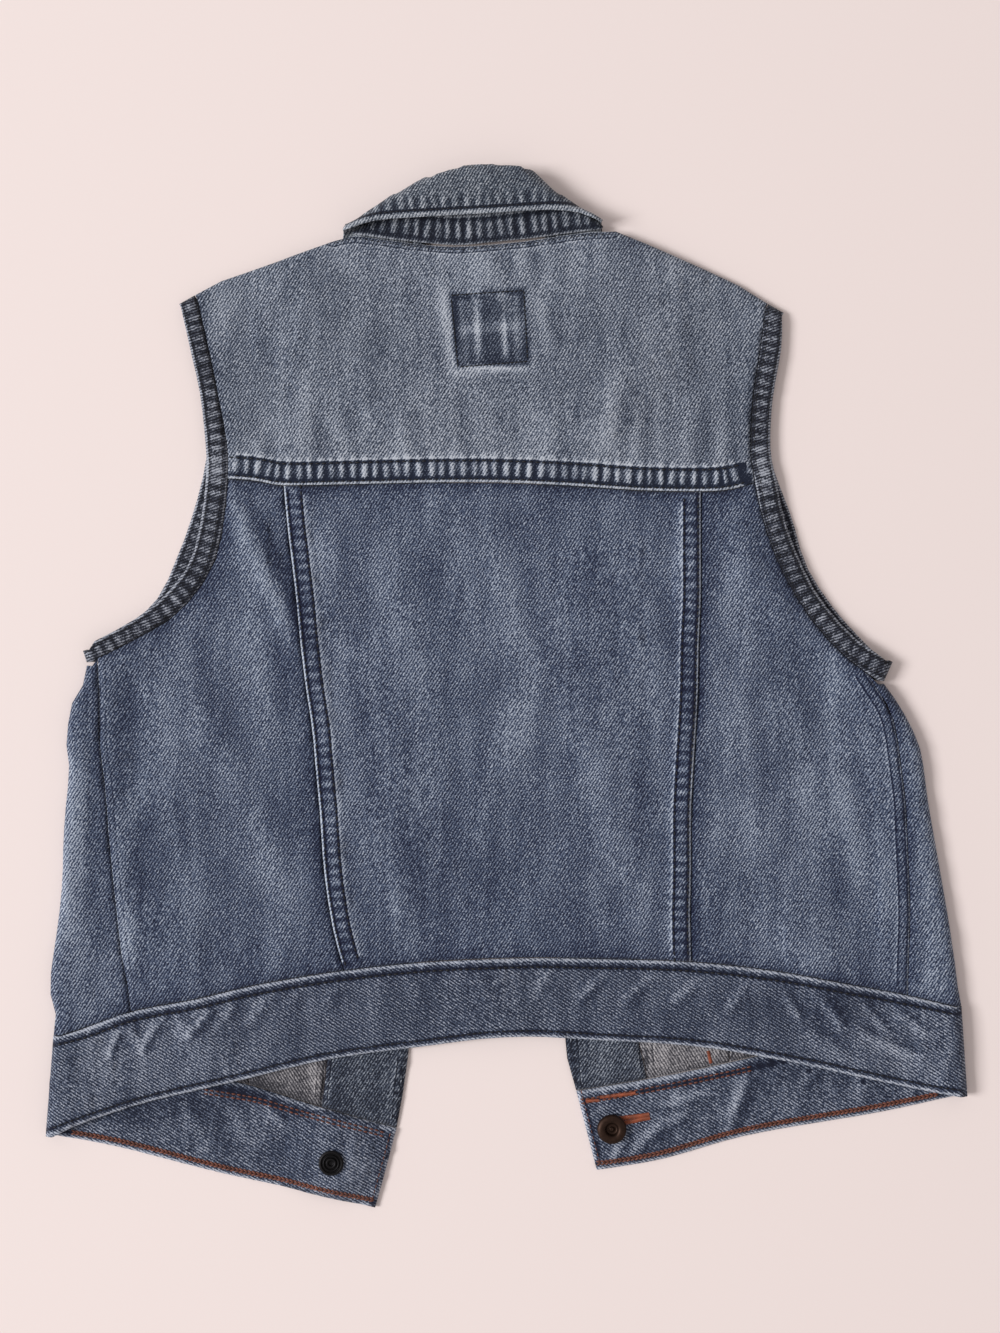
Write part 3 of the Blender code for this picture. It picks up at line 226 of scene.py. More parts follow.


# creases: start, end, half width, height, and how much paler the cloth is there; ridges are worn paler,
# and a value below zero is painted shade in a trough

backCreases = [
    (-141, 100, -104, 14, 5, 0.5, 0.16),
    (-190, 2, -188, -60, 8, -0.4, -0.07),
    (-196, -70, -192, -150, 6, 0.3, 0.05),
    (150, 24, 166, -37, 8, -0.4, -0.05),
    (166, -37, 180, -90, 8, 0.3, 0.05),
    (-12, 222, -8, 202, 7, 0.4, 0.12),
    (6, 222, 12, 204, 5, 0.3, 0.08),
    (-32, 206, -30, 168, 3, 0.3, 0.16),
    (-24, 162, 10, 164, 3, 0.25, 0.12),
    (16, 200, 24, 168, 4, 0.25, 0.08),
    (56, 160, 50, 118, 6, 0.35, 0.1),
    (68, 150, 66, 116, 4, 0.25, 0.08),
    (-104, 160, -103, 116, 6, 0.35, 0.09),
    (-90, 150, -80, 112, 5, 0.2, 0.06),
    (-54, 140, -50, 112, 4, 0.3, 0.08),
    (-30, 150, -24, 112, 4, 0.2, 0.05),
    (22, 140, 24, 110, 4, 0.3, 0.08),
    (96, 150, 90, 108, 5, 0.3, 0.07),
    (-128, 130, -126, 110, 4, 0.3, 0.08),
    (112, 132, 108, 106, 4, 0.3, 0.08),
    (-92, 90, -88, 20, 7, 0.3, 0.04),
    (-60, 80, -40, -20, 10, 0.35, 0.05),
    (-10, 90, 6, 10, 9, 0.3, 0.04),
    (20, 30, -20, -90, 12, 0.35, 0.05),
    (64, 80, 76, -20, 9, 0.3, 0.05),
    (40, -20, 70, -120, 10, 0.3, 0.05),
    (-70, -60, -50, -130, 8, 0.3, 0.05),
    (-130, 40, -120, -40, 8, 0.3, 0.05),
    (-150, -10, -120, -100, 9, 0.35, 0.05),
    (-170, 20, -150, -40, 7, 0.3, 0.04),
    (-118, -60, -112, -140, 7, 0.3, 0.04),
    (118, 70, 126, 0, 8, 0.35, 0.05),
    (112, 0, 130, -90, 9, 0.3, 0.04),
    (190, -60, 196, -130, 6, 0.3, 0.06),
    (214, -40, 222, -120, 5, -0.35, -0.04),
    (-216, -30, -222, -110, 5, 0.35, 0.05),
    (-197, -174, -203, -190, 1.5, 0.4, 0.26),
    (-192, -172, -184, -188, 2.2, 0.4, 0.12),
    (-176, -168, -186, -184, 2.0, 0.4, 0.2),
    (-168, -166, -160, -180, 2.4, 0.35, 0.1),
    (-150, -163, -164, -180, 2.0, 0.4, 0.2),
    (-138, -160, -147, -174, 1.8, 0.35, 0.14),
    (-120, -156, -132, -172, 2.2, 0.35, 0.16),
    (-104, -153, -112, -164, 2.0, 0.3, 0.1),
    (-84, -150, -92, -162, 2.4, 0.3, 0.08),
    (-50, -147, -44, -164, 3, 0.3, 0.06),
    (-14, -146, -10, -160, 3, 0.25, 0.07),
    (22, -145, 14, -158, 2.4, 0.3, 0.1),
    (50, -146, 36, -160, 2.2, 0.35, 0.16),
    (74, -147, 58, -162, 2.2, 0.35, 0.14),
    (98, -149, 84, -162, 2.0, 0.35, 0.16),
    (122, -152, 112, -166, 2.2, 0.35, 0.18),
    (142, -156, 150, -170, 2.0, 0.35, 0.18),
    (160, -158, 172, -174, 2.2, 0.4, 0.18),
    (182, -162, 196, -178, 2.0, 0.4, 0.2),
    (200, -166, 216, -178, 1.8, 0.4, 0.2),
    (180, -176, 212, -190, 2.6, 0.35, 0.14),
    (150, -172, 176, -192, 3, 0.35, 0.08),
    (228, -176, 222, -200, 3, 0.3, 0.08),
]
frontCreases = [
    (124, -197, 113, -224, 3, 0.8, 0.24),
    (106, -206, 80, -214, 2.4, 0.5, 0.16),
    (98, -214, 76, -226, 2.6, 0.4, 0.12),
    (80, -222, 62, -240, 2.4, 0.4, 0.18),
    (62, -228, 54, -243, 2.2, 0.4, 0.2),
    (160, -190, 150, -206, 3, 0.4, 0.12),
    (186, -196, 180, -212, 3, 0.3, 0.08),
    (-122, -216, -112, -226, 2.4, 0.4, 0.14),
    (-104, -222, -98, -234, 2.2, 0.4, 0.14),
    (-84, -227, -70, -236, 2.0, 0.4, 0.2),
    (-78, -236, -66, -242, 2.0, 0.4, 0.2),
    (-74, -246, -66, -258, 2.4, 0.4, 0.14),
    (-140, -212, -134, -232, 3, 0.4, 0.08),
    (-168, -208, -156, -228, 3, 0.4, 0.06),
    (-100, -160, -96, -206, 4, 0.3, 0.05),
    (84, -150, 80, -196, 4, 0.3, 0.05),
    (-110, 140, -100, 0, 8, 0.3, 0.05),
    (100, 140, 92, 0, 8, 0.3, 0.05),
    (-60, 100, -70, -40, 7, 0.3, 0.05),
    (44, 100, 50, -60, 7, 0.3, 0.05),
]


# wider places that are paler or darker: centre, reach in x and y, and how much lighter

backPatches = [
    (-8, 214, 60, 14, 0.07),
    (0, 122, 110, 14, 0.05),
    (-120, 165, 16, 34, -0.03),
    (118, 150, 14, 40, -0.03),
    (0, -115, 95, 45, -0.07),
    (0, 60, 70, 40, 0.03),
    (-200, -196, 40, 20, 0.05),
    (0, -160, 80, 16, -0.03),
    (150, -164, 70, 12, -0.13),
    (150, -60, 40, 60, 0.09),
    (-170, -60, 40, 60, -0.03),
    (-222, -90, 10, 70, 0.2),
    (222, -80, 12, 70, 0.18),
    (-148, 112, 7, 9, 0.4),
    (133, 110, 7, 9, 0.4),
]
# on the fronts' inside, the darker places just below the back's hem are painted shadow of the hem, and
# the left front's inside has painted shade
frontPatches = [
    (-88, -195, 26, 40, -0.06),
    (26, -190, 14, 24, -0.07),
    (92, -182, 26, 20, 0.08),
    (60, -215, 20, 12, 0.03),
    (-175, -214, 50, 9, -0.16),
    (-130, -206, 16, 6, -0.26),
    (150, -200, 60, 10, -0.09),
    (130, -192, 10, 7, -0.2),
    (-84, -236, 12, 12, -0.1),
    (-70, -222, 18, 5, 0.1),
    (-120, -240, 40, 12, -0.06),
]
creaseForm = {
    "rise": 1.3,
    "wearAndShade": 2.0,
    "ends": 0.25,  # how strong a crease still is at its ends
    # painted shade beside a crease's ridge, on the side away from the window
    "dyeAndShade": 1.5,
    "shadeAway": 1.5,  # this and the next two are in half widths of the crease
    "shadeHalf": 0.9,
    "shadeBesideReach": 3,
}
# the sewn box behind the neck: ridges and cross have a place, a half width and how much paler
labelForm = {
    "centre": (-7.6, 182.6),
    "half": (17.6, 17.8),
    "turn": 4,
    "inside": -0.33,
    "insideBack": 1.5,
    "insideSoft": 0.8,
    "ridges": [(-6.4, 1.5, 0.72), (7.2, 1.1, 0.76), (-13.5, 1.8, 0.3), (13.2, 2.2, 0.3)],
    "cross": (0.5, 2.6, 0.34),
    "seam": -0.6,
    "seamHalf": 1.1,
    "halo": 0.4,
    "haloAway": 2.8,
    "haloHalf": 1.6,
    "haloShare": 0.4,
    "haloSlope": 0.03,
}


def creaseField(creases, patches, plan):
    # height, and fade with painted shade, of the creases at plan points in millimetres
    height = np.zeros(len(plan))
    fade = np.zeros(len(plan))
    for x0, y0, x1, y1, half, rise, paleness in creases:
        start = np.array((x0, y0), float)
        run = np.array((x1 - x0, y1 - y0), float)
        share = np.clip(((plan - start) @ run) / (run @ run), 0, 1)
        away = np.linalg.norm(plan - start - share[:, None] * run, axis=1)
        bulge = np.sqrt(np.clip(4 * share * (1 - share), 0, 1))
        taper = creaseForm["ends"] + (1 - creaseForm["ends"]) * bulge
        body = np.exp(-(away / half) ** 2) * taper
        height += creaseForm["rise"] * rise * body
        fade += creaseForm["wearAndShade"] * paleness * body
        # painted shade beside the worn ridge, on its side away from the window
        side = ((plan - start) @ np.array((-run[1], run[0]))) / np.linalg.norm(run)
        beside = np.exp(-((side / half - creaseForm["shadeAway"]) / creaseForm["shadeHalf"]) ** 2)
        near = (away < creaseForm["shadeBesideReach"] * half) & (share > 0) & (share < 1)
        fade -= creaseForm["dyeAndShade"] * paleness * beside * taper * near
    for x, y, reachX, reachY, paleness in patches:
        away = ((plan[:, 0] - x) / reachX) ** 2 + ((plan[:, 1] - y) / reachY) ** 2
        fade += paleness * np.exp(-away)
    return height, fade


def labelField(plan):
    # the cloth inside the sewn box is dark with pale ridges, and outside it is pale below
    # and at the left
    form = labelForm
    turn = math.radians(form["turn"])
    moved = plan - np.array(form["centre"])
    u = moved[:, 0] * math.cos(turn) + moved[:, 1] * math.sin(turn)
    v = moved[:, 1] * math.cos(turn) - moved[:, 0] * math.sin(turn)
    outside = np.maximum(np.abs(u) - form["half"][0], np.abs(v) - form["half"][1])
    inner = 1 / (1 + np.exp(np.clip((outside + form["insideBack"]) / form["insideSoft"], -30, 30)))
    tone = form["inside"] * inner
    for x, half, paler in form["ridges"]:
        tone = tone + paler * inner * np.exp(-((u - x) / half) ** 2)
    y, half, paler = form["cross"]
    tone = tone + paler * inner * np.exp(-((v - y) / half) ** 2)
    tone = tone + form["seam"] * np.exp(-(outside / form["seamHalf"]) ** 2)
    pale = form["halo"] * np.exp(-((outside - form["haloAway"]) / form["haloHalf"]) ** 2)
    return tone + pale * np.clip(form["haloShare"] - form["haloSlope"] * (u + v), 0, 1)


def pathDistance(path, plan):
    # distance in metres from plan points to a line, and how far along it they lie
    line = np.array([tuple(p) for p in path])
    lengths = np.concatenate(([0], np.cumsum(np.linalg.norm(np.diff(line, axis=0), axis=1))))
    best = np.full(len(plan), 9.0)
    along = np.zeros(len(plan))
    for i in range(len(line) - 1):
        run = line[i + 1] - line[i]
        share = np.clip(((plan - line[i]) @ run) / (run @ run), 0, 1)
        away = np.linalg.norm(plan - line[i] - share[:, None] * run, axis=1)
        nearer = away < best
        best = np.where(nearer, away, best)
        along = np.where(nearer, lengths[i] + share * (lengths[i + 1] - lengths[i]), along)
    return best, along


# denim: cotton twill, indigo warp over white weft, garment washed; it shows fine slanted
# lines, a salt and pepper of worn thread, and pale bars where the seams have puckered

denimLooks = {
    "denimBody": {
        "slant": 57, "paleness": 0.37, "form": "felled",
        "dark": "#0a102b", "mid": "#4b5871", "light": "#b4bdcb"},
    "denimYoke": {
        "slant": 57, "paleness": 0.405, "form": "felled",
        "dark": "#121a2d", "mid": "#616b7d", "light": "#c0c6d0"},
    "denimBand": {
        "slant": -33, "paleness": 0.35, "form": "folded",
        "dark": "#0a1025", "mid": "#465167", "light": "#b5bbc8"},
    "denimStrip": {
        "slant": 20, "paleness": 0.4, "form": "felled",
        "dark": "#080a16", "mid": "#3b404e", "light": "#a6abb6"},
    "denimPlacket": {
        "slant": 57, "paleness": 0.38, "form": "felled",
        "dark": "#0a0e1e", "mid": "#40495a", "light": "#a8afb9"},
    "denimCollar": {
        "slant": 60, "paleness": 0.35, "form": "leaf",
        "dark": "#0e1425", "mid": "#4f5967", "light": "#babfc7"},
    "denimInside": {
        "slant": 122, "paleness": 0.44, "form": "felled",
        "dark": "#26262d", "mid": "#6b6a70", "light": "#bab7b9"},
    "denimStand": {
        "slant": 62, "paleness": 0.38, "form": "felled",
        "dark": "#0b1020", "mid": "#434b59", "light": "#a5aab3"},
}
denimWeave = {
    "twillSpacing": 1.4,  # real lines are 1.2 mm apart, too fine to show at this size
    "twillBend": {"Distortion": 2.4, "Detail": 2.0, "Detail Scale": 2.2, "Detail Roughness": 0.6},
    "ropeSpacing": 5.6,
    "ropeBend": {"Distortion": 3.6, "Detail": 2.0, "Detail Scale": 1.1, "Detail Roughness": 0.6},
    "ropeSqueeze": 0.006,  # of the place across a seam, so that the bars run straight across it
    "ropeMiddle": 0.55,
    "ropeUneven": {"Scale": 120, "Detail": 1.0},
    "ropeStronger": (2.4, -0.3),
    "pepperNoise": {"Scale": 1150, "Detail": 3.0, "Roughness": 0.8},
    "streakStretch": (110, 24, 60),
    "streakNoise": {"Scale": 1.0, "Detail": 3.0, "Roughness": 0.6},
    "cloudNoise": {"Scale": 26, "Detail": 4.0, "Roughness": 0.62},
    "twill": 0.62,
    "pepper": 2.9,
    "streak": 0.55,
    "cloud": 0.4,
    "rope": 1.1,
    "edge": 1.9,
    "twillRelief": 0.25,
    "ropeRelief": 2.0,
    "reliefStrength": 0.8,
    "reliefDepth": 0.3,
    "roughness": 0.92,
    "ior": 1.45,
    "specular": 0.2,
    "sheen": 0.12,
    "sheenRoughness": 0.6,
}
waveBand = 0.31416  # a wave texture of scale 1 has bands this wide, in metres
# across a seam from its edge: how pale the cloth is, and how strongly it has puckered; the pale ridges
# are worn, and the dark dips are painted shade in the seam's grooves
seamForms = {
    "felled": {
        "tone": [
            (0.0, 0.8), (0.06, 0.84), (0.1, 0.3), (0.13, 0.1), (0.18, 0.12), (0.24, 0.42), (0.5, 0.5),
            (0.62, 0.42), (0.68, 0.08), (0.73, 0.1), (0.78, 0.78), (0.86, 0.6), (1.0, 0.5)],
        "pucker": [(0.0, 0.3), (0.14, 0.2), (0.24, 1.0), (0.62, 1.0), (0.76, 0.6), (1.0, 0.0)]},
    "folded": {
        "tone": [
            (0.0, 0.74), (0.18, 0.8), (0.32, 0.5), (0.5, 0.4), (0.6, 0.14), (0.76, 0.14),
            (0.84, 0.44), (1.0, 0.5)],
        "pucker": [(0.0, 0.0), (0.3, 0.2), (0.5, 1.0), (0.9, 0.7), (1.0, 0.0)]},
    "leaf": {
        "tone": [
            (0.0, 0.64), (0.12, 0.7), (0.19, 0.5), (0.25, 0.02), (0.3, 0.04), (0.36, 0.48), (1.0, 0.5)],
        "pucker": [(0.0, 0.0), (0.26, 0.2), (0.42, 1.0), (0.72, 0.7), (1.0, 0.0)]},
}


def greyRamp(tree, socket, stops):
    made = addNode(tree, "ShaderNodeValToRGB", {}, {0: socket})
    marks = made.color_ramp.elements
    for mark, (at, grey) in zip(marks, (stops[0], stops[-1])):
        mark.position, mark.color = at, (grey, grey, grey, 1)
    for at, grey in stops[1:-1]:
        marks.new(at).color = (grey, grey, grey, 1)
    return made.outputs[0]


def mathNode(tree, operation, *values):
    return addNode(tree, "ShaderNodeMath", {"operation": operation}, dict(enumerate(values))).outputs[0]


def makeDenim(name, look):
    weave = denimWeave
    made, tree, shader = newMaterial(name)
    place = addNode(tree, "ShaderNodeTexCoord").outputs["Object"]
    turn = (0, 0, math.radians(90 - look["slant"]))
    turned = addNode(tree, "ShaderNodeMapping", {}, {"Vector": place, "Rotation": turn})
    twillScale = waveBand / (weave["twillSpacing"] * mm)
    twill = addNode(
        tree, "ShaderNodeTexWave", {"bands_direction": "X"},
        {"Vector": turned.outputs[0], "Scale": twillScale, **weave["twillBend"]})
    pepper = addNode(tree, "ShaderNodeTexNoise", {}, {"Vector": place, **weave["pepperNoise"]})
    stretched = addNode(
        tree, "ShaderNodeMapping", {}, {"Vector": place, "Scale": weave["streakStretch"]})
    streak = addNode(
        tree, "ShaderNodeTexNoise", {}, {"Vector": stretched.outputs[0], **weave["streakNoise"]})
    cloud = addNode(tree, "ShaderNodeTexNoise", {}, {"Vector": place, **weave["cloudNoise"]})
    fade = addNode(tree, "ShaderNodeAttribute", {"attribute_name": "fade"})
    rope = addNode(tree, "ShaderNodeAttribute", {"attribute_name": "rope"})
    edge = addNode(tree, "ShaderNodeAttribute", {"attribute_name": "edge"})
    seamPlace = addNode(tree, "ShaderNodeUVMap", {"uv_map": "seam"})
    split = addNode(tree, "ShaderNodeSeparateXYZ", {}, {0: seamPlace.outputs[0]})
    # puckers: uneven bars across the seam, stronger in some places than in others
    squeeze = (1, weave["ropeSqueeze"], 1)
    along = addNode(tree, "ShaderNodeMapping", {}, {"Vector": seamPlace.outputs[0], "Scale": squeeze})
    ropeScale = waveBand / (weave["ropeSpacing"] * mm)
    bars = addNode(
        tree, "ShaderNodeTexWave", {"bands_direction": "X"},
        {"Vector": along.outputs[0], "Scale": ropeScale, **weave["ropeBend"]})
    uneven = addNode(tree, "ShaderNodeTexNoise", {}, {"Vector": along.outputs[0], **weave["ropeUneven"]})
    stronger = mathNode(tree, "MULTIPLY_ADD", uneven.outputs[0], *weave["ropeStronger"])
    pucker = greyRamp(tree, split.outputs[1], seamForms[look["form"]]["pucker"])
    shown = mathNode(tree, "MULTIPLY", mathNode(tree, "MULTIPLY", pucker, rope.outputs[2]), stronger)
    bar = mathNode(tree, "SUBTRACT", bars.outputs[1], weave["ropeMiddle"])
    roped = mathNode(tree, "MULTIPLY", bar, shown)
    tone = greyRamp(tree, split.outputs[1], seamForms[look["form"]]["tone"])
    # worn pale edges and painted shade in the seam's grooves
    edged = mathNode(tree, "MULTIPLY", mathNode(tree, "SUBTRACT", tone, 0.5), edge.outputs[2])
    # the cloth's worn fade and its painted shade, from creases, patches and seams, move the dye's tone
    total = mathNode(tree, "ADD", fade.outputs[2], look["paleness"])
    for socket, amount, middle in (
            (twill.outputs[1], weave["twill"], 0.5), (pepper.outputs[0], weave["pepper"], 0.5),
            (streak.outputs[0], weave["streak"], 0.5), (cloud.outputs[0], weave["cloud"], 0.5),
            (roped, weave["rope"], 0), (edged, weave["edge"], 0)):
        total = mathNode(tree, "MULTIPLY_ADD", mathNode(tree, "SUBTRACT", socket, middle), amount, total)
    dyeAndShade = addNode(tree, "ShaderNodeValToRGB", {}, {0: total})
    colours = dyeAndShade.color_ramp.elements
    colours[0].position, colours[0].color = 0.0, linearColour(look["dark"])
    colours[1].position, colours[1].color = 1.0, linearColour(look["light"])
    colours.new(0.5).color = linearColour(look["mid"])
    tree.links.new(dyeAndShade.outputs[0], shader.inputs["Base Color"])
    height = mathNode(tree, "MULTIPLY_ADD", twill.outputs[1], weave["twillRelief"], pepper.outputs[0])
    height = mathNode(tree, "MULTIPLY_ADD", roped, weave["ropeRelief"], height)
    relief = addNode(
        tree, "ShaderNodeBump", {},
        {"Height": height, "Strength": weave["reliefStrength"], "Distance": weave["reliefDepth"] * mm})
    tree.links.new(relief.outputs[0], shader.inputs["Normal"])
    shader.inputs["Roughness"].default_value = weave["roughness"]
    shader.inputs["IOR"].default_value = weave["ior"]
    shader.inputs["Specular IOR Level"].default_value = weave["specular"]
    shader.inputs["Sheen Weight"].default_value = weave["sheen"]
    shader.inputs["Sheen Roughness"].default_value = weave["sheenRoughness"]
    return made


denims = {name: makeDenim(name, look) for name, look in denimLooks.items()}
print("denims made")


# cloth pieces: each is a shell on its solid's form, cut finer, softened and creased

shellForm = {
    "cell": 2.8,
    "softening": 8,
    "merge": 0.02,
    "flatAngle": 0.4,
    "sliceMerge": 0.04,
    "restLevel": 0.4,  # points lower than this rest on the floor and are not softened
    "ripple": 0.22,
    "rippleLength": 17,
    "rippleShift": 40,
    "fineRipple": 0.4,
    "fineLength": 6,
    "fineShift": 9,
    "backFrom": 1.8,  # a piece with both layers takes the back's creases above this height
    "backOver": 1.2,
    "backLevel": 2.4,
    "freeSlope": 0.3,
    "insideSlope": 0.4,
    "frontFadeAndShadeGain": 1.7,
    "rounding": 36,
    "seamStep": 6,
    "seamShare": 0.75,
    "shadeReach": 3.5,
    "otherLayer": 200,  # added to the distance of a seam that is on the other layer
}
# bends of the collar's roll that are rounded off: place and reach
roundings = {"collar_leaf": [(-41, 263, 19), (13, 265.5, 19), (-89, 232, 9), (54, 236, 9)]}
# how far the collar's roll moves along y at each x, to the photo's outline
collarMoves = [
    (-85, 0), (-78, -2.4), (-60, -2), (-44, -2), (-40, -1), (-35, 1), (-28, 1), (-20, -1), (-8, -1),
    (0, 0.4), (8, 1.5), (13, -1), (20, -3.4), (28, -5), (38, -4.6), (46, -4.4), (54, -3.4), (58, 0)]
collarMoveOver = 7


def collarMove(x, y):
    # the leaf's edge stays, and the roll beyond it moves
    edge = np.interp(x, [p[0] for p in leafEdge], [p[1] for p in leafEdge])
    share = min(max((y - edge) / collarMoveOver, 0), 1)
    return share * np.interp(x, [p[0] for p in collarMoves], [p[1] for p in collarMoves])


def cutFiner(shape, cell):
    # slices the cloth along both plan axes so that creases have points to move
    for axis in (0, 1):
        places = [v.co[axis] for v in shape.verts]
        step = cell * mm
        place = math.floor(min(places) / step + 1) * step
        while place < max(places) - 0.3 * step:
            point = Vector((0, 0, 0))
            point[axis] = place
            normal = Vector((0, 0, 0))
            normal[axis] = 1
            bmesh.ops.bisect_plane(
                shape, geom=shape.verts[:] + shape.edges[:] + shape.faces[:],
                dist=shellForm["sliceMerge"] * mm, plane_co=point, plane_no=normal)
            place += step


def clothShell(node, name, layer, finishes, seams):
    # layer is back, front or both; finishes are the outside's and the inside's denim
    form = shellForm
    shape = bmesh.new()
    shape.from_mesh(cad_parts[node].data)
    bmesh.ops.remove_doubles(shape, verts=shape.verts, dist=form["merge"] * mm)
    bmesh.ops.dissolve_limit(
        shape, angle_limit=math.radians(form["flatAngle"]), verts=shape.verts, edges=shape.edges)
    cutFiner(shape, form["cell"])
    for turn in range(form["softening"]):
        bmesh.ops.smooth_vert(
            shape, verts=[v for v in shape.verts if v.co.z > form["restLevel"] * mm], factor=0.5,
            use_axis_x=False, use_axis_y=False, use_axis_z=True)
    for x, y, reach in roundings.get(node, []):
        near = [v for v in shape.verts if math.hypot(v.co.x / mm - x, v.co.y / mm - y) < reach]
        for turn in range(form["rounding"]):
            bmesh.ops.smooth_vert(
                shape, verts=near, factor=0.5, use_axis_x=True, use_axis_y=True, use_axis_z=True)
    if node in ("collar_leaf", "collar_stand"):
        for v in shape.verts:
            v.co.y += mm * collarMove(v.co.x / mm, v.co.y / mm)
    shape.normal_update()
    plan = np.array([(v.co.x / mm, v.co.y / mm) for v in shape.verts])
    backRise, backFadeAndShade = creaseField(backCreases, backPatches, plan)
    frontRise, frontFadeAndShade = creaseField(frontCreases, frontPatches, plan)
    if node == "back_yoke":
        backFadeAndShade += labelField(plan)
    fades = np.zeros(len(plan))
    for i, v in enumerate(shape.verts):
        risen = min(max((v.co.z / mm - form["backFrom"]) / form["backOver"], 0), 1)
        share = {"back": 1, "front": 0, "both": risen}[layer]
        coarse = noise.noise(Vector((*plan[i], form["rippleShift"] * share)) / form["rippleLength"])
        fine = noise.noise(Vector((*plan[i], form["fineShift"])) / form["fineLength"])
        ripple = form["ripple"] * (coarse + form["fineRipple"] * fine)
        free = 1 if v.normal.z > form["freeSlope"] else 0
        frontMove = free * max(frontRise[i] + ripple, 0)
        v.co.z += mm * (share * (backRise[i] + ripple) + (1 - share) * frontMove)
        fades[i] = share * backFadeAndShade[i] + (1 - share) * form["frontFadeAndShadeGain"] * frontFadeAndShade[i]
    mesh = bpy.data.meshes.new(name)
    shape.to_mesh(mesh)
    shape.free()
    mesh.shade_smooth()
    for finish in finishes:
        mesh.materials.append(denims[finish])
    markSeams(mesh, layer, seams, fades)
    if len(finishes) > 1:
        for face in mesh.polygons:
            onBack = layer == "back" or (layer == "both" and face.center.z > form["backLevel"] * mm)
            facing = face.normal.z if onBack else -face.normal.z
            outside = facing > -form["insideSlope"]
            face.material_index = 0 if outside else 1
    made = bpy.data.objects.new(name, mesh)
    bpy.context.scene.collection.objects.link(made)
    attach(made, "root")
    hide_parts(node)
    return made


def markSeams(mesh, layer, seams, fades):
    # every corner gets its place along and across the nearest seam, and the seam's strength
    count = len(mesh.vertices)
    places = np.zeros(count * 3)
    mesh.vertices.foreach_get("co", places)
    places = places.reshape(-1, 3)
    across, along = [], []
    for seam in seams:
        away, run = pathDistance(smoothPath(seam["line"], shellForm["seamStep"]), places[:, :2])
        if layer == "both" and seam["layer"]:
            other = (places[:, 2] > shellForm["backLevel"] * mm) != (seam["layer"] == "back")
            away = away + other * shellForm["otherLayer"] * mm
        across.append(away)
        along.append(run)
    across, along = np.array(across), np.array(along)
    corners = np.zeros(len(mesh.loops), int)
    mesh.loops.foreach_get("vertex_index", corners)
    mesh.uv_layers.new(name="seam")
    for name in ("rope", "edge", "fade"):
        mesh.attributes.new(name, "FLOAT", "CORNER")
    uv = np.zeros((len(corners), 2))
    rope = np.zeros(len(corners))
    edge = np.zeros(len(corners))
    fadeAt = fades[corners]
    widths = np.array([seam["width"] * mm for seam in seams])
    for face in mesh.polygons:
        own = corners[face.loop_start:face.loop_start + face.loop_total]
        mean = across[:, own].mean(axis=1)
        nearest = int(np.argmin(mean / widths))
        seam = seams[nearest]
        for k, corner in enumerate(own):
            index = face.loop_start + k
            distance = across[nearest, corner]
            share = min(shellForm["seamShare"] * distance / widths[nearest], 1.0)
            uv[index] = (along[nearest, corner], share)
            rope[index] = seam["rope"] if share < 1.0 else 0.0
            edge[index] = seam["edge"] if share < 1.0 else 0.0
            # painted shade on the cloth beside an edge that lies over it
            fadeAt[index] += seam["shade"] * math.exp(-distance / mm / shellForm["shadeReach"])
    mesh.uv_layers["seam"].data.foreach_set("uv", uv.ravel())
    mesh.attributes["rope"].data.foreach_set("value", rope)
    mesh.attributes["edge"].data.foreach_set("value", edge)
    mesh.attributes["fade"].data.foreach_set("value", fadeAt)


def seamMark(line, width, rope, edge, shade=0.0, layer=None):
    # how strong its puckers and its edges are, and how much lighter the cloth beside it is; below zero
    # this is painted shade beside an edge that lies over the cloth
    return {"line": line, "width": width, "rope": rope, "edge": edge, "shade": shade, "layer": layer}


# painted shade on the cloth under the yoke's edge and the hem band's edge
underYoke = seamMark(yokeSeam, 5, 0.0, 0.0, -0.34)
underBand = seamMark(hemTop, 5, 0.0, 0.0, -0.26)
twoSides = ["denimBody", "denimInside"]
yokeCloth = clothShell("back_yoke", "yokeCloth", "back", ["denimYoke", "denimInside"], [
    seamMark(yokeSeam, 12, 1.0, 0.9, -0.16), seamMark(neckSeam, 3.5, 0.2, 0.7),
    seamMark(armInnerLeft, 4, 0.0, 0.0, -0.16), seamMark(armInnerRight, 4, 0.0, 0.0, -0.16)])
centreCloth = clothShell("back_centre_panel", "centreCloth", "back", twoSides, [
    seamMark(backSeamLeft, 9.2, 0.4, 0.9), seamMark(backSeamRight, 9.2, 0.4, 0.9), underYoke, underBand])
sideClothLeft = clothShell("back_side_panel_left", "sideClothLeft", "back", twoSides, [
    seamMark(backSeamLeft, 5, 0.0, 0.0, -0.36), underYoke, underBand,
    seamMark(armInnerLeft, 5, 0.0, 0.0, -0.24), seamMark(sideSeamLeft, 4, 0.0, 0.3, 0.05)])
sideClothRight = clothShell("back_side_panel_right", "sideClothRight", "back", twoSides, [
    seamMark(backSeamRight, 5, 0.0, 0.0, -0.36), underYoke, underBand,
    seamMark(armInnerRight, 5, 0.0, 0.0, -0.24), seamMark(sideSeamRight, 6, 0.1, 0.6)])
wrapClothLeft = clothShell("front_side_panel_left", "wrapClothLeft", "both", twoSides, [
    seamMark(sideSeamLeft, 3, 0.0, 0.2, -0.14, "back"),
    seamMark(hemTop, 5, 0.0, 0.0, -0.25, "back"),
    seamMark(frontSeamLeft, 6, 0.2, 0.6, 0, "front"),
    seamMark(frontHemTopLeft, 5, 0.0, 0.0, -0.2, "front")])
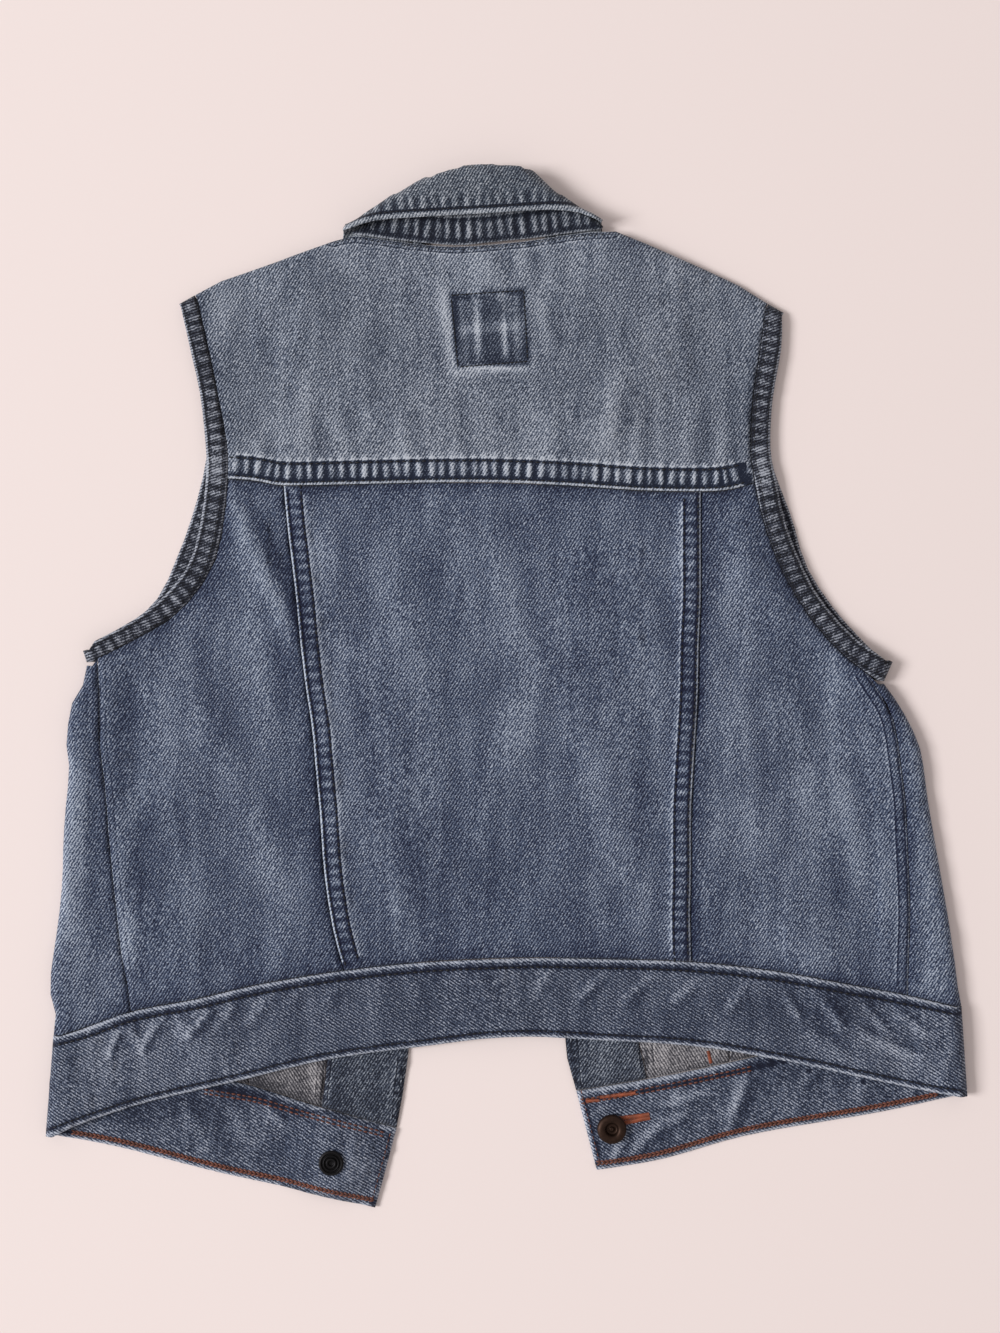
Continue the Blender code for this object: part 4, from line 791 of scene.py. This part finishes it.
wrapClothRight = clothShell("front_side_panel_right", "wrapClothRight", "both", twoSides, [
    seamMark(sideSeamRight, 3, 0.0, 0.0, -0.24, "back"),
    seamMark(hemTop, 5, 0.0, 0.0, -0.25, "back"),
    seamMark(frontSeamRight, 6, 0.2, 0.6, 0, "front"),
    seamMark(frontHemTopRight, 5, 0.0, 0.0, -0.2, "front")])
frontClothLeft = clothShell("front_centre_panel_left", "frontClothLeft", "front", twoSides, [
    seamMark(placketSewnLeft, 4, 0.2, 0.6), seamMark(frontSeamLeft, 6, 0.2, 0.6),
    seamMark(frontHemTopLeft, 5, 0.0, 0.0, -0.3), seamMark(armFrontLeft, 12, 0.2, 0.4)])
frontClothRight = clothShell("front_centre_panel_right", "frontClothRight", "front", twoSides, [
    seamMark(placketSewnRight, 4, 0.2, 0.6), seamMark(frontSeamRight, 6, 0.2, 0.6),
    seamMark(frontHemTopRight, 5, 0.0, 0.0, -0.3), seamMark(armFrontRight, 12, 0.2, 0.4)])
placketClothLeft = clothShell("placket_left", "placketClothLeft", "front", ["denimPlacket"], [
    seamMark(placketSewnLeft, 3, 0.3, 0.8), seamMark(placketFreeLeft, 3, 0.3, 0.8),
    seamMark(frontHemTopLeft, 5, 0.0, 0.0, -0.25)])
placketClothRight = clothShell("placket_right", "placketClothRight", "front", ["denimPlacket"], [
    seamMark(placketSewnRight, 3, 0.3, 0.8), seamMark(placketFreeRight, 3, 0.3, 0.8),
    seamMark(frontHemTopRight, 5, 0.0, 0.0, -0.25)])
bandCloth = clothShell("hem_band", "bandCloth", "both", ["denimBand"], [
    seamMark(hemTop, 4.8, 0.3, 0.9, 0, "back"),
    seamMark(hemBottom, 3.4, 0.25, 0.9, 0, "back"),
    seamMark(frontHemTopLeft, 6, 0.4, 0.7, 0, "front"),
    seamMark(frontHemTopRight, 6, 0.4, 0.7, 0, "front"),
    seamMark(frontHemBottomLeft, 3.6, 0.3, 0.9, 0, "front"),
    seamMark(frontHemBottomRight, 3.6, 0.3, 0.9, 0, "front"),
    seamMark(bandEndLeft, 3.5, 0.3, 0.8, 0, "front"),
    seamMark(bandEndRight, 3.5, 0.3, 0.8, 0, "front")])
bindingClothLeft = clothShell("armhole_binding_left", "bindingClothLeft", "both", ["denimStrip"], [
    seamMark(armOuterLeft, 10, 0.5, 0.5, 0, "back"),
    seamMark(armFrontLeft, 10, 0.5, 0.5, 0, "front")])
bindingClothRight = clothShell("armhole_binding_right", "bindingClothRight", "both", ["denimStrip"], [
    seamMark(armOuterRight, 10, 0.5, 0.5, 0, "back"),
    seamMark(armFrontRight, 10, 0.5, 0.5, 0, "front")])
standCloth = clothShell("collar_stand", "standCloth", "back", ["denimStand"], [
    seamMark(neckSeam, 14, 0.9, 0.6)])
leafCloth = clothShell("collar_leaf", "leafCloth", "back", ["denimCollar"], [
    seamMark(leafEdge, 9, 0.6, 0.9)])
cloths = [
    yokeCloth, centreCloth, sideClothLeft, sideClothRight, wrapClothLeft, wrapClothRight, frontClothLeft,
    frontClothRight, placketClothLeft, placketClothRight, bandCloth, bindingClothLeft, bindingClothRight,
    standCloth, leafCloth]
print("cloth pieces made")


# stitches: spun polyester thread, slightly glossy; dark outside and rust coloured inside

threadLooks = {"darkThread": "#0b0b11", "rustThread": "#643728", "orangeThread": "#8c472c"}
threadForm = {"uneven": {"Scale": 300, "Detail": 1.0}, "lift": (1.6, 0.2), "roughness": 0.55}
# the small flattened grain of one stitch, and the greatest step of the cloth under it
grainForm = {"rayHeight": 50, "stepLimit": 0.8, "raised": 0.05, "overlap": 1.06, "thickness": 0.4}
# each row's stitch length, the gap after a stitch, and the thread's width
stitchForms = {
    "felled": (2.6, 0.8, 0.85),
    "bandTop": (2.6, 0.7, 1.0),
    "bandBottom": (2.5, 0.5, 0.7),
    "armhole": (2.3, 0.7, 0.5),
    "collar": (2.4, 0.5, 0.55),
    "neck": (2.4, 0.7, 0.5),
    "label": (2.2, 0.1, 0.75),
    "rust": (2.5, 0.3, 1.0),
    "chain": (3.2, -1.0, 1.3),
    "bandEnd": (2.4, 0.6, 0.55),
}
rowStep = 4


def colourUnevenly(tree, shader, colour, pattern, lift):
    # one colour, brighter in some places than in others
    place = addNode(tree, "ShaderNodeTexCoord").outputs["Object"]
    uneven = addNode(tree, "ShaderNodeTexNoise", {}, {"Vector": place, **pattern})
    bright = mathNode(tree, "MULTIPLY_ADD", uneven.outputs[0], *lift)
    tone = addNode(tree, "ShaderNodeHueSaturation", {}, {"Color": linearColour(colour), "Value": bright})
    tree.links.new(tone.outputs[0], shader.inputs["Base Color"])


def makeThread(name, colour):
    made, tree, shader = newMaterial(name)
    colourUnevenly(tree, shader, colour, threadForm["uneven"], threadForm["lift"])
    shader.inputs["Roughness"].default_value = threadForm["roughness"]
    return made


threads = {name: makeThread(name, colour) for name, colour in threadLooks.items()}

surfaceVerts, surfaceFaces = [], []
for cloth in cloths:
    start = len(surfaceVerts)
    surfaceVerts += [v.co.copy() for v in cloth.data.vertices]
    surfaceFaces += [[start + i for i in p.vertices] for p in cloth.data.polygons]
surface = BVHTree.FromPolygons(surfaceVerts, surfaceFaces)


def onCloth(place):
    # the first cloth met from above
    start = Vector((place.x, place.y, grainForm["rayHeight"] * mm))
    return surface.ray_cast(start, Vector((0, 0, -1)))[0]


def besideLine(line, offset):
    return movedPath(smoothPath(line, rowStep), offset)


def sewRow(shape, path, stitch, gap, width, lean=0.0):
    # one row of stitches: small flattened grains along the cloth, dipping at both ends
    position = 0.0
    lengths = [0.0]
    for a, b in zip(path, path[1:]):
        lengths.append(lengths[-1] + (b - a).length)

    def at(length):
        i = 0
        while i < len(path) - 2 and lengths[i + 1] < length:
            i += 1
        span = max(lengths[i + 1] - lengths[i], 1e-9)
        return path[i].lerp(path[i + 1], (length - lengths[i]) / span)

    while position + stitch * mm < lengths[-1]:
        first = onCloth(at(position))
        last = onCloth(at(position + stitch * mm))
        position += (stitch + gap) * mm
        if first is None or last is None or abs(first.z - last.z) > grainForm["stepLimit"] * mm:
            continue
        run = (last - first).normalized()
        across = Vector((-run.y, run.x, 0)).normalized()
        run = (run + across * lean).normalized()
        across = Vector((-run.y, run.x, 0)).normalized()
        up = run.cross(across)
        matrix = Matrix((run, across, up)).transposed().to_4x4()
        matrix.translation = (first + last) / 2 + Vector((0, 0, grainForm["raised"] * mm))
        length, height = stitch / 2 * grainForm["overlap"], width * grainForm["thickness"]
        size = Matrix.Diagonal((length * mm, width / 2 * mm, height * mm, 1))
        bmesh.ops.create_icosphere(shape, subdivisions=1, radius=1, matrix=matrix @ size)


def finishPiece(shape, name, finish):
    mesh = bpy.data.meshes.new(name)
    shape.to_mesh(mesh)
    shape.free()
    mesh.shade_smooth()
    mesh.materials.append(finish)
    made = bpy.data.objects.new(name, mesh)
    bpy.context.scene.collection.objects.link(made)
    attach(made, "root")
    return made


backRows = [
    (yokeSeam, (1.7, 11.0)),
    (backSeamLeft, (1.5, 8.6)),
    (backSeamRight[::-1], (1.5, 8.6)),
]
sewing = bmesh.new()
for line, offsets in backRows:
    for offset in offsets:
        sewRow(sewing, besideLine(line, offset), *stitchForms["felled"])
backStitches = finishPiece(sewing, "backStitches", threads["darkThread"])

sewing = bmesh.new()
sewRow(sewing, besideLine(hemTop, -4.6), *stitchForms["bandTop"])
sewRow(sewing, besideLine(hemBottom, 3.2), *stitchForms["bandBottom"])
bandStitches = finishPiece(sewing, "bandStitches", threads["darkThread"])

sewing = bmesh.new()
for line, side in ((armOuterLeft, 1), (armOuterRight, -1)):
    for offset in (1.6, 8.2):
        sewRow(sewing, besideLine(line, side * offset), *stitchForms["armhole"])
armholeStitches = finishPiece(sewing, "armholeStitches", threads["darkThread"])

sewing = bmesh.new()
sewRow(sewing, besideLine(leafEdge, 3.2), *stitchForms["collar"])
collarStitches = finishPiece(sewing, "collarStitches", threads["darkThread"])

sewing = bmesh.new()
sewRow(sewing, besideLine(neckSeam, -1.6), *stitchForms["neck"])
labelBox = [(-27.5, 199.5), (9.5, 202), (11.5, 166), (-24, 163), (-27.5, 199.5)]
for a, b in zip(labelBox, labelBox[1:]):
    sewRow(sewing, [Vector(a) * mm, Vector(b) * mm], *stitchForms["label"])
yokeStitches = finishPiece(sewing, "yokeStitches", threads["darkThread"])

# the fronts show their inside below the back's hem: rust thread, chain stitched at the fold
rustRowLeft = [
    (-154, -206.6), (-142.3, -208.4), (-125.5, -211.4), (-104.5, -217.6),
    (-84.2, -222.6), (-67.3, -226.9), (-57.5, -230.2)]
rustRowRight = [(38.5, -212), (73, -206), (115, -197.4), (132, -193.4)]
buttonhole = [(58.5, -221.8), (74, -219.2)]
buttonholeForm = {"aside": 1.3, "narrowing": 0.6, "length": 2.9, "pitch": 0.55}
bartacks = [
    ((41.3, -211.4), (48, -211.2)), ((48.5, -209.6), (66.8, -207.4)), ((104, -186), (105.5, -192.5))]
bartackForm = {"length": 2.2, "pitch": 0.6}


def satinRow(shape, start, end, length, pitch):
    # short stitches side by side, each across the row; wider than the pitch, so they touch
    first, last = Vector(start) * mm, Vector(end) * mm
    run = (last - first).normalized()
    across = Vector((-run.y, run.x)) * length * mm / 2
    count = int((last - first).length / (pitch * mm))
    for i in range(count):
        middle = first.lerp(last, (i + 0.5) / count)
        sewRow(shape, [middle - across, middle + across * 1.02], length, 0.1, pitch * 1.3)


sewing = bmesh.new()
for line in (rustRowLeft, rustRowRight):
    for offset in (-1.0, 1.0):
        sewRow(sewing, besideLine(line, offset), *stitchForms["rust"])
# the chain stitch is two overlapping rows that lean to each other; it stops short of the side folds
for line, skipStart, skipEnd in ((frontHemBottomLeft, 3, 0), (frontHemBottomRight, 0, 3)):
    path = besideLine(line, 3.5)
    path = path[skipStart:len(path) - skipEnd]
    for lean, offset in ((0.45, -0.55), (-0.45, 0.55)):
        sewRow(sewing, movedPath(path, offset), *stitchForms["chain"], lean)
sewRow(sewing, besideLine(bandEndLeft, -2.4), *stitchForms["bandEnd"])
sewRow(sewing, besideLine(bandEndRight, 2.4), *stitchForms["bandEnd"])
insideStitches = finishPiece(sewing, "insideStitches", threads["rustThread"])

sewing = bmesh.new()
for side in (-1, 1):
    start, end = Vector(buttonhole[0]), Vector(buttonhole[1])
    run = (end - start).normalized()
    moved = Vector((-run.y, run.x)) * buttonholeForm["aside"] * side
    narrower = end + moved * buttonholeForm["narrowing"]
    satinRow(sewing, start + moved, narrower, buttonholeForm["length"], buttonholeForm["pitch"])
for start, end in bartacks:
    satinRow(sewing, start, end, bartackForm["length"], bartackForm["pitch"])
buttonholeStitches = finishPiece(sewing, "buttonholeStitches", threads["orangeThread"])
print("stitches made")


# buttons: cast brass, plated dark; the left one shows its tack, the right one its head

plateLooks = {"gunmetalPlate": "#1d1c1e", "bronzePlate": "#33241d"}
plateForm = {
    "rubbed": {"Scale": 500, "Detail": 4.0, "Roughness": 0.7}, "lift": (1.8, 0.2),
    "metallic": 0.85, "roughness": 0.5}


def makePlate(name, colour):
    made, tree, shader = newMaterial(name)
    colourUnevenly(tree, shader, colour, plateForm["rubbed"], plateForm["lift"])
    shader.inputs["Metallic"].default_value = plateForm["metallic"]
    shader.inputs["Roughness"].default_value = plateForm["roughness"]
    return made


plates = {name: makePlate(name, colour) for name, colour in plateLooks.items()}
# half sections, radius and height: the head's dished ring, and the tack's back with its rings
headTurns = [
    (0, 1.9), (0.9, 2.0), (1.3, 1.3), (2.0, 1.1), (2.7, 1.3), (3.2, 2.5), (3.8, 3.2), (4.8, 3.5),
    (5.9, 3.4), (6.9, 2.9), (7.4, 2.1), (7.5, 1.5), (7.3, 0.7), (6.6, 0)]
tackTurns = [
    (0, 0.2), (1.2, 0.25), (1.5, 1.1), (2.0, 1.4), (2.5, 1.35), (2.8, 0.6), (3.2, 0.5), (3.5, 1.15),
    (4.0, 1.3), (4.4, 0.6), (4.8, 0.6), (5.2, 1.25), (5.8, 1.15), (6.4, 0.6), (6.2, 0)]
buttonForm = {"shankRadius": 1.6, "topStep": 0.25, "lowStep": 0.4, "turns": 56, "merge": 0.005}


def spunButton(name, node, topTurns, lowTurns, finish):
    # head or tack, shank and the part below, turned round one axis
    low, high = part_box(node)
    topLevel = high[2] - max(row[1] for row in topTurns) * mm
    lowLevel = low[2] + max([row[1] for row in lowTurns] + [0]) * mm
    shank = buttonForm["shankRadius"] * mm
    section = [Vector((p.x, 0, topLevel + p.y)) for p in smoothPath(topTurns, buttonForm["topStep"])]
    section += [Vector((shank, 0, topLevel)), Vector((shank, 0, lowLevel))]
    if lowTurns:
        lowPath = smoothPath(lowTurns[::-1], buttonForm["lowStep"])
        section += [Vector((p.x, 0, lowLevel - p.y)) for p in lowPath]
    section.append(Vector((0, 0, section[-1].z)))
    shape = bmesh.new()
    points = [shape.verts.new(p) for p in section]
    edges = [shape.edges.new(pair) for pair in zip(points, points[1:])]
    bmesh.ops.spin(
        shape, geom=points + edges, cent=(0, 0, 0), axis=(0, 0, 1), angle=math.tau,
        steps=buttonForm["turns"], use_merge=True)
    bmesh.ops.remove_doubles(shape, verts=shape.verts, dist=buttonForm["merge"] * mm)
    bmesh.ops.recalc_face_normals(shape, faces=shape.faces)
    middle = [(a + b) / 2 for a, b in zip(low, high)]
    bmesh.ops.translate(shape, verts=shape.verts, vec=(middle[0], middle[1], 0))
    made = finishPiece(shape, name, plates[finish])
    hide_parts(node)
    return made


leftButton = spunButton("tackButtonLeft", "tack_button_left", tackTurns, headTurns, "gunmetalPlate")
rightButton = spunButton("tackButtonRight", "tack_button_right", headTurns, [], "bronzePlate")
print("buttons made")
